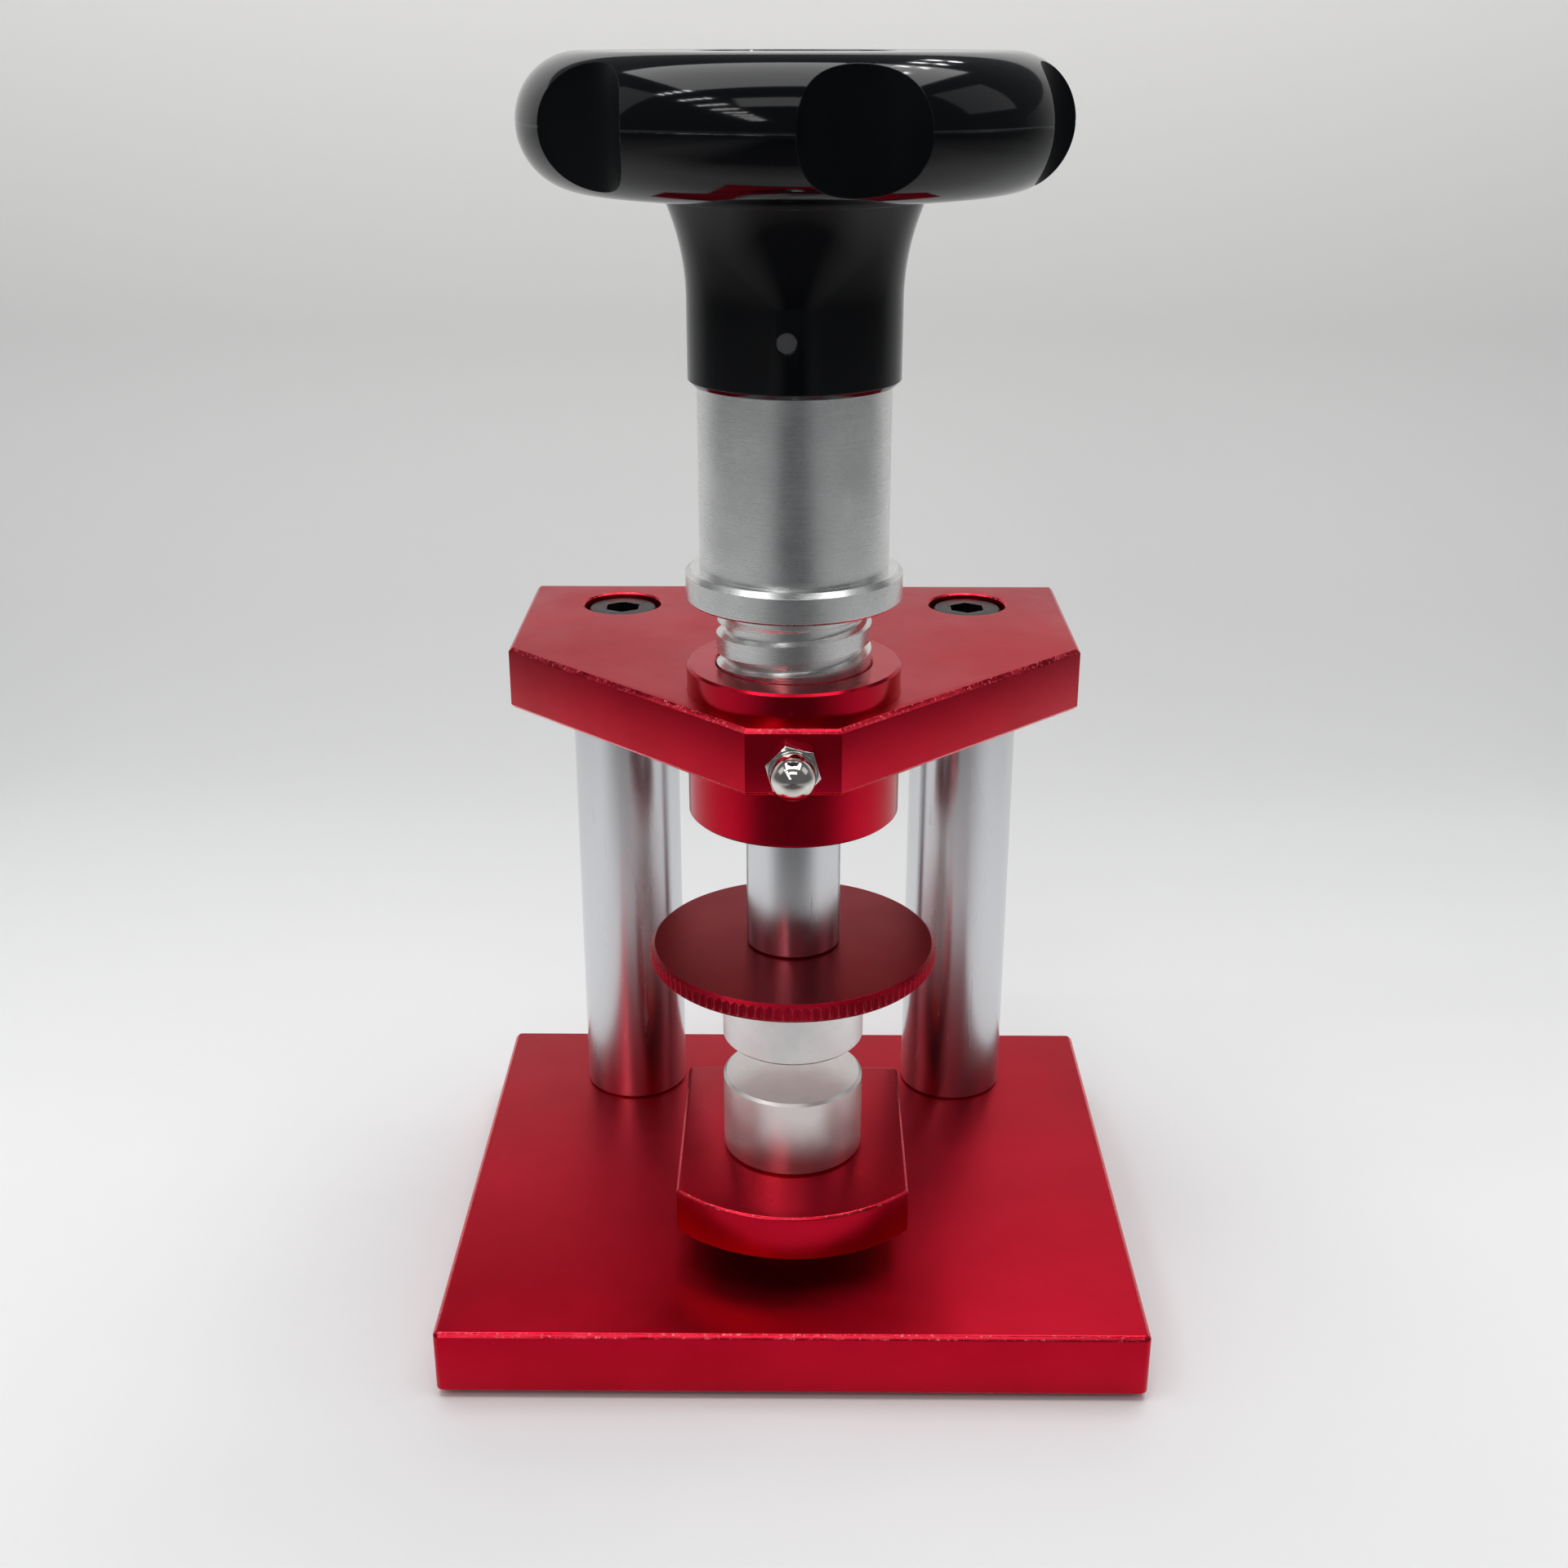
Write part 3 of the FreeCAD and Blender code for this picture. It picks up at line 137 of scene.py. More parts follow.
# Steel of the drive pin, painted dark: painted shade standing in for the dim hole it sits in.
PIN_PAINTED_SHADE_STEEL = (0.20, 0.20, 0.205)
MOULDING_DEEP = (0.0012, 0.0016, 0.0024)
MOULDING_LIGHT = (0.0022, 0.0028, 0.0042)
MOULDING_RUBBED = (0.06, 0.062, 0.065)
MOULDING_DUST = (0.12, 0.12, 0.12)
OXIDE_DEEP = (0.018, 0.018, 0.02)
OXIDE_LIGHT = (0.04, 0.039, 0.04)
OXIDE_RUBBED = (0.32, 0.31, 0.3)
NICKEL_DULL = (0.66, 0.62, 0.57)
NICKEL_BRIGHT = (0.80, 0.77, 0.72)
NICKEL_RUBBED = (0.93, 0.92, 0.90)
BRASS_TARNISHED = (0.46, 0.32, 0.13)
BRASS_BRIGHT = (0.74, 0.57, 0.28)
RUBBER_BLACK = (0.018, 0.018, 0.018)
RUBBER_DUST = (0.05, 0.048, 0.045)

# ---- Camera and set
CAMERA_PLACE = (0.733 * MM, -305.42 * MM, 214.21 * MM)
CAMERA_TILT = 68.256 * DEGREE
CAMERA_TURN = 0.469 * DEGREE
CAMERA_ROLL = -0.032 * DEGREE
CAMERA_LENS = 43.19
CAMERA_SENSOR = 36
CAMERA_NEAREST = 0.01
SWEEP_WIDTH = 3.0
SWEEP_FRONT = -1.1
SWEEP_BACK = 0.24
SWEEP_HEIGHT = 0.42
SWEEP_RADIUS = 0.12
SWEEP_STEPS = 24
# Painted shade on the floor: these spans and colours paint it darker far aside, and dark in a patch in
# front of the press that the bright metal reflects.
PAINTED_SHADE_FRONT_SPAN = (-0.09, -0.22)
PAINTED_SHADE_SIDE_SPAN = (0.22, 0.48)
PAINTED_SHADE_LANE_SPAN = (0.14, 0.40)
FLOOR_PAINTED_SHADE_SIDE = (0.46, 0.46, 0.465)
FLOOR_PAINTED_SHADE_FRONT = (0.12, 0.12, 0.125)
FLOOR_DULL = (0.88, 0.88, 0.885)
FLOOR_BRIGHT = (0.91, 0.91, 0.915)
# Backdrop painted darker towards its foot and lighter above: painted shade and painted light, graded by
# height.
BACKDROP_PAINTED_SHADE_LOW = (0.60, 0.605, 0.60)
BACKDROP_PAINTED_LIGHT_HIGH = (0.92, 0.915, 0.90)
BACKDROP_PAINTED_SHADE_RISE = (0.0, 0.22)
BACKDROP_START = (0.02, 0.32)
SURROUND_COLOUR = (0.62, 0.64, 0.67, 1)
SURROUND_STRENGTH = 0.20

# Each box: name, place, aim, width, height, power
SOFTBOXES = [
    ("overhead_box", (0, 0.02, 0.78), (0, 0, 0), 0.8, 0.55, 4.5),
    ("left_box", (-0.70, -0.05, 0.62), (0, 0, 0.10), 0.4, 0.4, 0.3),
    ("right_box", (0.70, -0.05, 0.62), (0, 0, 0.10), 0.4, 0.4, 0.27),
    ("front_fill", (0, -0.62, 0.78), (0, -0.1, 0), 0.6, 0.2, 0.7),
]

# Each strip of lamps: name, start, end, number of lamps, power of each, shifts of its rows along X
LAMP_STRIPS = [
    ("left_strip", (-0.52, -2.4, 0.95), (-0.50, -0.3, 0.95), 9, 0.10, (0, -0.07, -0.14, -0.21)),
    ("right_strip", (0.24, 0.15, 0.95), (0.28, 0.75, 0.95), 4, 0.09, (0, 0.07)),
]
LAMP_AIM = (0, 0, 0.2)
LAMP_WIDTH = 0.05
LAMP_HEIGHT = 0.018


# ---- Places read from the frame

def node_centre(node):
    low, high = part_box(node)
    return (low + high) / 2


AXIS = Vector((0, node_centre("screw_spindle").y, 0))
WHEEL_LOW, WHEEL_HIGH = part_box("hand_wheel")
RIM_HEIGHT = WHEEL_HIGH.z - RIM_SECTION_RADIUS


def from_front(radius, angle, height):
    """Point at a radius from the press axis, at an angle from the front towards +X."""
    return AXIS + Vector((radius * math.sin(angle), -radius * math.cos(angle), height))


# ---- Shaping helpers

def object_from(name, bm):
    mesh = bpy.data.meshes.new(name)
    bm.to_mesh(mesh)
    bm.free()
    piece = bpy.data.objects.new(name, mesh)
    bpy.context.scene.collection.objects.link(piece)
    return piece


def cleaned(bm):
    """The same mesh with its seams and poles closed and its faces pointing outwards."""
    bmesh.ops.remove_doubles(bm, verts=bm.verts, dist=MERGE_DISTANCE)
    bmesh.ops.recalc_face_normals(bm, faces=bm.faces)
    return bm


def finished(name, bm, finishes, node):
    """Piece made of a bmesh that rides with a CAD node's body and stands for that node."""
    piece = object_from(name, cleaned(bm))
    piece.data.shade_smooth()
    piece.data.set_sharp_from_angle(angle=SHARP_ANGLE)
    for finish in finishes:
        piece.data.materials.append(finish)
    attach(piece, body_with(node))
    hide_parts(node)
    return piece


def body_with(node):
    bodies = frame["record"]["behaviour"]["bodies"]
    return next(body for body, nodes in bodies.items() if node in nodes)


def arc(centre, radius, start, end, steps):
    """(radius, height) points along an arc in the upright half plane."""
    points = []
    for step in range(steps + 1):
        angle = start + (end - start) * step / steps
        points.append((centre[0] + radius * math.cos(angle), centre[1] + radius * math.sin(angle)))
    return points


def spun(bm, outline, x=0.0, y=0.0, segments=ROUND_SEGMENTS):
    """Adds a shape turned about an upright axis from (radius, height) points."""
    verts = [bm.verts.new((x + radius, y, height)) for radius, height in outline]
    edges = [bm.edges.new(pair) for pair in zip(verts, verts[1:])]
    bmesh.ops.spin(bm, geom=verts + edges, cent=(x, y, 0), axis=(0, 0, 1), dvec=(0, 0, 0),
                   angle=2 * math.pi, steps=segments, use_merge=True, use_duplicate=False)
    return cleaned(bm)


def sharp_edges(bm):
    return [edge for edge in bm.edges if edge.is_manifold and edge.calc_face_angle(0) > SHARP_ANGLE]


def softened(bm):
    """The same mesh with its crisp edges broken by a small round."""
    bmesh.ops.bevel(bm, geom=sharp_edges(bm), offset=SOFT_EDGE, offset_type="OFFSET",
                    segments=SOFT_EDGE_SEGMENTS, profile=0.5, affect="EDGES", clamp_overlap=True,
                    material=-1)
    return bm


def level_edges(bm, height):
    return [edge for edge in bm.edges
            if all(abs(vert.co.z - height) < MERGE_DISTANCE for vert in edge.verts)]


def slab(outline, low, high, chamfer):
    """Flat plate from plan corners, with its top and bottom edges chamfered."""
    bm = bmesh.new()
    face = bm.faces.new([bm.verts.new((x, y, low)) for x, y in outline])
    raised = bmesh.ops.extrude_face_region(bm, geom=[face], use_keep_orig=True)["geom"]
    lift = [item for item in raised if isinstance(item, bmesh.types.BMVert)]
    bmesh.ops.translate(bm, verts=lift, vec=(0, 0, high - low))
    cleaned(bm)
    bmesh.ops.bevel(bm, geom=level_edges(bm, high) + level_edges(bm, low), offset=chamfer,
                    offset_type="OFFSET", segments=1, profile=0.5, affect="EDGES",
                    clamp_overlap=True, material=-1)
    return softened(bm)


def rounded_corners(outline, radius, segments):
    """Plan corners, each replaced by a round of a radius."""
    points = []
    count = len(outline)
    for index in range(count):
        before = Vector(outline[index - 1])
        corner = Vector(outline[index])
        after = Vector(outline[(index + 1) % count])
        back = (before - corner).normalized()
        ahead = (after - corner).normalized()
        centre = corner + (back + ahead) * radius
        for step in range(segments + 1):
            turn = math.pi / 2 * step / segments
            points.append(centre - ahead * radius * math.cos(turn) - back * radius * math.sin(turn))
    return [tuple(point) for point in points]


def cut(bm, tools):
    """What is left of one mesh when the closed shapes of another are cut away."""
    blank = object_from("blank", cleaned(bm))
    tool = object_from("tool", cleaned(tools))
    modifier = blank.modifiers.new("cut", "BOOLEAN")
    modifier.operation = "DIFFERENCE"
    modifier.solver = "EXACT"
    modifier.object = tool
    left = bmesh.new()
    left.from_object(blank, bpy.context.evaluated_depsgraph_get())
    for used in (blank, tool):
        mesh = used.data
        bpy.data.objects.remove(used)
        bpy.data.meshes.remove(mesh)
    return left


def mark(bm, is_marked):
    """Gives the second finish to the faces that a test picks."""
    for face in bm.faces:
        if is_marked(face):
            face.material_index = 1
    return bm


def is_chamfer(face):
    """Whether a face leans like a machined chamfer."""
    return CHAMFER_LEAN[0] < abs(face.normal.z) < CHAMFER_LEAN[1]


# ---- Finishes

# Nearly upright, so that no level face of a bar is square to it
RING_AXIS = (0.02, 0.03, 1.0)
MIDDLE = (0.3, 0.7)
EDGE_AGREEMENT = (0.995, 0.86)
ROUNDING_SAMPLES = 6
FINE_ROUND = 0.08 * MM
CHAMFER_ROUND = 0.1 * MM
EDGE_ROUND = 0.12 * MM
BAR_ROUND = 0.15 * MM
NUT_ROUND = 0.2 * MM
MOULDED_ROUND = 0.25 * MM
NARROW_WEAR = 0.2 * MM
PLATE_WEAR = 0.28 * MM
MOULDED_WEAR = 0.3 * MM


class Finish:
    """Principled material whose node graph is put together in short steps."""

    def __init__(self, name, **settings):
        self.material = bpy.data.materials.new(name)
        self.material.use_nodes = True
        self.shader = self.material.node_tree.nodes["Principled BSDF"]
        for socket, value in settings.items():
            self.shader.inputs[socket.replace("_", " ")].default_value = value

    def add(self, kind, inputs=None, output=0, **settings):
        """A node with linked or fixed inputs. Returns one of its outputs."""
        node = self.material.node_tree.nodes.new("ShaderNode" + kind)
        for name, value in settings.items():
            setattr(node, name, value)
        for socket, value in (inputs or {}).items():
            if isinstance(value, bpy.types.NodeSocket):
                self.material.node_tree.links.new(value, node.inputs[socket])
            else:
                node.inputs[socket].default_value = value
        return node.outputs[output]

    def drive(self, socket, value):
        self.material.node_tree.links.new(value, self.shader.inputs[socket])

    def place(self, centre=(0, 0, 0), stretch=(1, 1, 1)):
        """Object coordinates measured from a centre and stretched."""
        coordinates = self.add("TexCoord", output="Object")
        centred = self.add("Mapping", {"Vector": coordinates, "Location": [-value for value in centre]})
        return self.add("Mapping", {"Vector": centred, "Scale": stretch})

    def turning(self, centre, fineness):
        """Coordinates that change only along the radius and the height, as tool marks do."""
        parts = self.add("SeparateXYZ", {0: self.place(centre)}, output="X").node
        flat = self.add("CombineXYZ", {"X": parts.outputs["X"], "Y": parts.outputs["Y"]})
        radius = self.add("VectorMath", {0: flat}, output="Value", operation="LENGTH")
        across = self.add("Math", {0: radius, 1: fineness}, operation="MULTIPLY")
        along = self.add("Math", {0: parts.outputs["Z"], 1: fineness}, operation="MULTIPLY")
        return self.add("CombineXYZ", {"X": across, "Y": along})

    def noise(self, vector, scale, detail=3.0, roughness=0.5):
        return self.add("TexNoise", {"Vector": vector, "Scale": scale, "Detail": detail,
                                     "Roughness": roughness})

    def spread(self, value, low, high, to_low=0.0, to_high=1.0):
        return self.add("MapRange", {"Value": value, "From Min": low, "From Max": high,
                                     "To Min": to_low, "To Max": to_high})

    def times(self, first, second):
        return self.add("Math", {0: first, 1: second}, operation="MULTIPLY")

    def plus(self, first, second):
        return self.add("Math", {0: first, 1: second}, operation="ADD")

    def blend(self, share, first, second):
        """Colour between two, each a socket or three numbers."""
        inputs = {0: share}
        for index, colour in ((6, first), (7, second)):
            inputs[index] = colour if isinstance(colour, bpy.types.NodeSocket) else (*colour, 1)
        return self.add("Mix", inputs, output=2, data_type="RGBA")

    def rounded(self, radius):
        """Surface direction with the crisp edges rounded by a radius."""
        return self.add("Bevel", {"Radius": radius}, samples=ROUNDING_SAMPLES)

    def edge_share(self, radius):
        """Share of a point that is edge: 0 on an open face, 1 on a crisp edge."""
        facing = self.add("NewGeometry", output="Normal")
        agreement = self.add("VectorMath", {0: self.rounded(radius), 1: facing}, output="Value",
                             operation="DOT_PRODUCT")
        return self.spread(agreement, *EDGE_AGREEMENT)

    def worn_edge(self, place, width, scale, low, high):
        """Share of a point that is rubbed edge, in patches."""
        edge = self.edge_share(width)
        return self.times(edge, self.spread(self.noise(place, scale), low, high))

    def relief(self, height, distance, strength, rounding=None):
        """Raises the surface by a height, over edges rounded by a radius."""
        inputs = {"Height": height, "Distance": distance, "Strength": strength}
        if rounding:
            inputs["Normal"] = self.rounded(rounding)
        self.drive("Normal", self.add("Bump", inputs))


def red_anodising(name, deep, light, roughness, wear, turned=False):
    """Dyed oxide on fine blasted metal, worn thin along the edges."""
    finish = Finish(name, Metallic=1.0, Coat_Weight=0.03, Coat_Roughness=0.2)
    place = finish.place()
    cloud = finish.noise(place, scale=48, detail=4)
    grain = finish.noise(place, scale=5200, detail=2)
    colour = finish.blend(finish.spread(cloud, *MIDDLE), deep, light)
    edge = finish.worn_edge(place, PLATE_WEAR, scale=900, low=0.38, high=0.62)
    stretches = finish.noise(place, scale=130, detail=3)
    worn = finish.times(edge, finish.spread(stretches, 0.3, 0.6, 0.25, wear))
    colour = finish.blend(worn, colour, RED_WORN)
    finish.drive("Base Color", colour)
    smudge = finish.noise(place, scale=75, detail=5, roughness=0.62)
    rough = finish.spread(smudge, 0.25, 0.75, roughness - 0.06, roughness + 0.07)
    finish.drive("Roughness", rough)
    height = grain
    if turned:
        marks = finish.noise(finish.turning(AXIS, fineness=1800), scale=1, detail=2)
        height = finish.plus(grain, marks)
    finish.relief(height, distance=0.006 * MM, strength=0.55, rounding=EDGE_ROUND)
    return finish.material


def chamfer_red():
    """Chamfer cut with a diamond tool: thinner, brighter dye, with small nicks."""
    finish = Finish("bright_red_chamfer", Metallic=1.0)
    place = finish.place()
    nicks = finish.spread(finish.noise(place, scale=1500, detail=4, roughness=0.7), 0.56, 0.68)
    cloud = finish.spread(finish.noise(place, scale=260, detail=3), *MIDDLE)
    colour = finish.blend(cloud, CHAMFER_DEEP, CHAMFER_LIGHT)
    finish.drive("Base Color", finish.blend(nicks, colour, CHAMFER_NICK))
    finish.drive("Roughness", finish.spread(cloud, 0, 1, 0.18, 0.32))
    finish.relief(nicks, distance=0.03 * MM, strength=0.7, rounding=CHAMFER_ROUND)
    return finish.material


def polished_bar(name, centre, tint, roughness):
    """Ground and polished bar: faint rings round it, wiping marks and a few fine scratches."""
    finish = Finish(name, Metallic=1.0, Anisotropic=0.75, Anisotropic_Rotation=0.25)
    facing = finish.add("NewGeometry", output="Normal")
    round_it = finish.add("VectorMath", {0: facing, 1: RING_AXIS}, operation="CROSS_PRODUCT")
    finish.drive("Tangent", round_it)
    rings = finish.noise(finish.turning(centre, fineness=2600), scale=1, detail=3)
    wipes = finish.noise(finish.place(centre, stretch=(60, 60, 14)), scale=1, detail=4)
    drawn = finish.place(centre, stretch=(900, 900, 45))
    scratches = finish.spread(finish.noise(drawn, scale=1, detail=4, roughness=0.65), 0.66, 0.74)
    darker = tuple(value * 0.9 for value in tint)
    finish.drive("Base Color", finish.blend(finish.spread(wipes, *MIDDLE), darker, tint))
    rough = finish.spread(wipes, *MIDDLE, roughness * 0.7, roughness * 1.35)
    finish.drive("Roughness", finish.plus(rough, finish.times(scratches, 0.12)))
    height = finish.plus(rings, finish.times(scratches, -1.2))
    finish.relief(height, distance=0.0012 * MM, strength=0.5, rounding=BAR_ROUND)
    return finish.material


def turned_silver(name, centre, tint, roughness, marks, pitch):
    """Lathe-turned metal: fine rings, a soft bloom between them, and nicked edges."""
    finish = Finish(name, Metallic=1.0)
    fine = finish.noise(finish.turning(centre, fineness=pitch), scale=1, detail=2)
    coarse = finish.noise(finish.turning(centre, fineness=pitch / 6), scale=1, detail=2)
    place = finish.place(centre)
    bloom = finish.noise(place, scale=130, detail=5, roughness=0.6)
    nicks = finish.spread(finish.noise(place, scale=1100, detail=4), 0.52, 0.62)
    edge = finish.edge_share(NARROW_WEAR)
    darker = tuple(value * 0.86 for value in tint)
    colour = finish.blend(finish.spread(bloom, *MIDDLE), darker, tint)
    finish.drive("Base Color", finish.blend(finish.times(edge, nicks), colour, BARE_METAL))
    rough = finish.spread(finish.plus(fine, bloom), 0.6, 1.4, roughness - 0.03, roughness + 0.04)
    finish.drive("Roughness", rough)
    height = finish.plus(finish.plus(fine, coarse), finish.times(finish.times(edge, nicks), -2.0))
    finish.relief(height, distance=marks, strength=0.7, rounding=FINE_ROUND)
    return finish.material


def black_moulding(name, roughness, grain_height, specular):
    """Black thermoset moulding: faint flow marks, dust, and edges rubbed grey."""
    finish = Finish(name, Specular_IOR_Level=specular)
    place = finish.place(AXIS)
    flow = finish.noise(place, scale=70, detail=4)
    dust = finish.spread(finish.noise(place, scale=2400, detail=4, roughness=0.7), 0.68, 0.78)
    colour = finish.blend(finish.spread(flow, *MIDDLE), MOULDING_DEEP, MOULDING_LIGHT)
    edge = finish.worn_edge(place, MOULDED_WEAR, scale=420, low=0.45, high=0.65)
    colour = finish.blend(finish.times(edge, 0.5), colour, MOULDING_RUBBED)
    finish.drive("Base Color", finish.blend(finish.times(dust, 0.35), colour, MOULDING_DUST))
    rough = finish.spread(flow, *MIDDLE, roughness * 0.75, roughness * 1.3)
    finish.drive("Roughness", finish.plus(rough, finish.times(dust, 0.25)))
    height = finish.noise(place, scale=1300, detail=3)
    finish.relief(height, distance=grain_height, strength=0.6, rounding=MOULDED_ROUND)
    return finish.material


def black_oxide():
    """Oiled black oxide on screw heads, rubbed to steel along the edges."""
    finish = Finish("black_oxide", Metallic=0.9)
    place = finish.place()
    patch = finish.noise(place, scale=500, detail=4)
    edge = finish.worn_edge(place, NARROW_WEAR, scale=700, low=0.4, high=0.6)
    colour = finish.blend(finish.spread(patch, *MIDDLE), OXIDE_DEEP, OXIDE_LIGHT)
    finish.drive("Base Color", finish.blend(finish.times(edge, 0.8), colour, OXIDE_RUBBED))
    finish.drive("Roughness", finish.spread(patch, *MIDDLE, 0.27, 0.42))
    finish.relief(patch, distance=0.01 * MM, strength=0.5, rounding=EDGE_ROUND)
    return finish.material


def nickel_plating():
    """Bright nickel with a warm tint, fine polishing haze and wear at the hexagon's corners."""
    finish = Finish("bright_nickel", Metallic=1.0)
    place = finish.place(node_centre("acorn_nut"))
    haze = finish.noise(place, scale=420, detail=4)
    edge = finish.worn_edge(place, NARROW_WEAR, scale=900, low=0.4, high=0.6)
    colour = finish.blend(finish.spread(haze, *MIDDLE), NICKEL_DULL, NICKEL_BRIGHT)
    finish.drive("Base Color", finish.blend(edge, colour, NICKEL_RUBBED))
    finish.drive("Roughness", finish.spread(haze, *MIDDLE, 0.06, 0.16))
    finish.relief(haze, distance=0.008 * MM, strength=0.4, rounding=NUT_ROUND)
    return finish.material


def ground_steel():
    """Hardened and ground steel of the bearing, studs and pins."""
    return turned_silver("ground_steel", AXIS, STEEL, 0.26, 0.002 * MM, 2200)


def pressed_brass():
    """Stamped brass of the ball cage, a little tarnished."""
    finish = Finish("stamped_brass", Metallic=1.0)
    place = finish.place(AXIS)
    tarnish = finish.noise(place, scale=320, detail=5)
    colour = finish.blend(finish.spread(tarnish, 0.35, 0.65), BRASS_TARNISHED, BRASS_BRIGHT)
    finish.drive("Base Color", colour)
    finish.drive("Roughness", finish.spread(tarnish, *MIDDLE, 0.24, 0.42))
    finish.relief(tarnish, distance=0.01 * MM, strength=0.5, rounding=EDGE_ROUND)
    return finish.material


def black_rubber():
    """Soft matt rubber of the feet, dusty at the edges."""
    finish = Finish("matt_rubber", Specular_IOR_Level=0.3)
    place = finish.place()
    pores = finish.noise(place, scale=3500, detail=3)
    dust = finish.spread(finish.noise(place, scale=260, detail=4), 0.45, 0.7)
    finish.drive("Base Color", finish.blend(dust, RUBBER_BLACK, RUBBER_DUST))
    finish.drive("Roughness", finish.spread(pores, *MIDDLE, 0.62, 0.82))
    finish.relief(pores, distance=0.02 * MM, strength=0.6)
    return finish.material


def sweep_paper():
    """Pale matt paper of the floor and backdrop, uneven, with painted shade: the floor darker far aside
    and dark in front of the press, the backdrop darker towards its foot.
    """
    finish = Finish("pale_paper_with_painted_shade", Specular_IOR_Level=0.15)
    place = finish.place()
    shade = finish.noise(place, scale=2.2, detail=2)
    floor = finish.blend(finish.spread(shade, *MIDDLE), FLOOR_DULL, FLOOR_BRIGHT)
    parts = finish.add("SeparateXYZ", {0: place}, output="Y").node
    # Painted shade: the backdrop darker towards its foot, lighter above.
    rise = finish.spread(parts.outputs["Z"], *BACKDROP_PAINTED_SHADE_RISE)
    backdrop = finish.blend(rise, BACKDROP_PAINTED_SHADE_LOW, BACKDROP_PAINTED_LIGHT_HIGH)
    far = finish.spread(parts.outputs["Y"], *BACKDROP_START)
    aside = finish.add("Math", {0: parts.outputs["X"]}, operation="ABSOLUTE")
    # Painted shade: the floor darker far aside, and a dark patch on the floor in front of the press.
    painted_side_shade = finish.spread(aside, *PAINTED_SHADE_SIDE_SPAN)
    painted_shade_lane = finish.spread(aside, *reversed(PAINTED_SHADE_LANE_SPAN))
    front = finish.times(painted_shade_lane, finish.spread(parts.outputs["Y"], *PAINTED_SHADE_FRONT_SPAN))
    floor_with_painted_shade = finish.blend(front, finish.blend(painted_side_shade, floor, FLOOR_PAINTED_SHADE_SIDE), FLOOR_PAINTED_SHADE_FRONT)
    finish.drive("Base Color", finish.blend(far, floor_with_painted_shade, backdrop))
    grain = finish.noise(place, scale=900, detail=2)
    finish.drive("Roughness", finish.spread(grain, *MIDDLE, 0.75, 0.9))
    return finish.material


RED = red_anodising("red_anodising", RED_DEEP, RED_LIGHT, 0.36, 1.0)
RED_TURNED = red_anodising("red_anodising_turned", RED_DEEP, RED_LIGHT, 0.30, 0.9, turned=True)
# Darker copy of the red anodising for the disc: painted shade.
RED_DISC_PAINTED_SHADE = red_anodising("red_anodising_disc_painted_shade", DISC_PAINTED_SHADE_DEEP, DISC_PAINTED_SHADE_LIGHT, 0.34, 0.9, turned=True)
RED_BUSH = red_anodising("red_anodising_bush", RED_DEEP, RED_LIGHT, 0.20, 0.9, turned=True)
RED_CHAMFER = chamfer_red()
GLOSS_BLACK = black_moulding("gloss_black_moulding", 0.075, 0.0015 * MM, 0.28)
MATT_BLACK = black_moulding("matt_black_scallop", 0.42, 0.010 * MM, 0.12)
BLACK_OXIDE = black_oxide()


# ---- Pieces

def base_plate():
    """Thick plate with rounded corners, bored from below for its screws and feet."""
    low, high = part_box("base_plate")
    corners = [(low.x, low.y), (high.x, low.y), (high.x, high.y), (low.x, high.y)]
    outline = rounded_corners(corners, BASE_CORNER_RADIUS, BASE_CORNER_SEGMENTS)
    bores = bmesh.new()
    for screw_x in column_xs():
        bore(bores, screw_x, node_centre("column_base_screws").y, SCREW_HEAD_DIAMETER / 2 + HEAD_GAP,
             low.z - CUT_OVERRUN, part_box("column_base_screws")[0].z + SCREW_HEAD_HEIGHT)
    screw_low, screw_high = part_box("table_screw")
    head = (screw_high.x - screw_low.x) / 2 + TABLE_SCREW_HEAD_GAP
    bore(bores, 0, AXIS.y, head, low.z - CUT_OVERRUN, screw_low.z + TABLE_SCREW_HEAD_HEIGHT)
    feet_low, feet_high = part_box("rubber_feet")
    for x in (feet_low.x + FOOT_RADIUS, feet_high.x - FOOT_RADIUS):
        for y in (feet_low.y + FOOT_RADIUS, feet_high.y - FOOT_RADIUS):
            bore(bores, x, y, FOOT_RADIUS + FOOT_SEAT_FIT, low.z - CUT_OVERRUN, feet_high.z)
    plate = mark(cut(slab(outline, low.z, high.z, PLATE_CHAMFER), bores), is_chamfer)
    return finished("base_plate_body", plate, [RED, RED_CHAMFER],
                    "base_plate")


def bore(bm, x, y, radius, low, high):
    """Adds a round bar to a set of cutting shapes."""
    return spun(bm, [(0, low), (radius, low), (radius, high), (0, high)], x, y, BORE_SEGMENTS)


def column_xs():
    return [node_centre("left_column").x, node_centre("right_column").x]


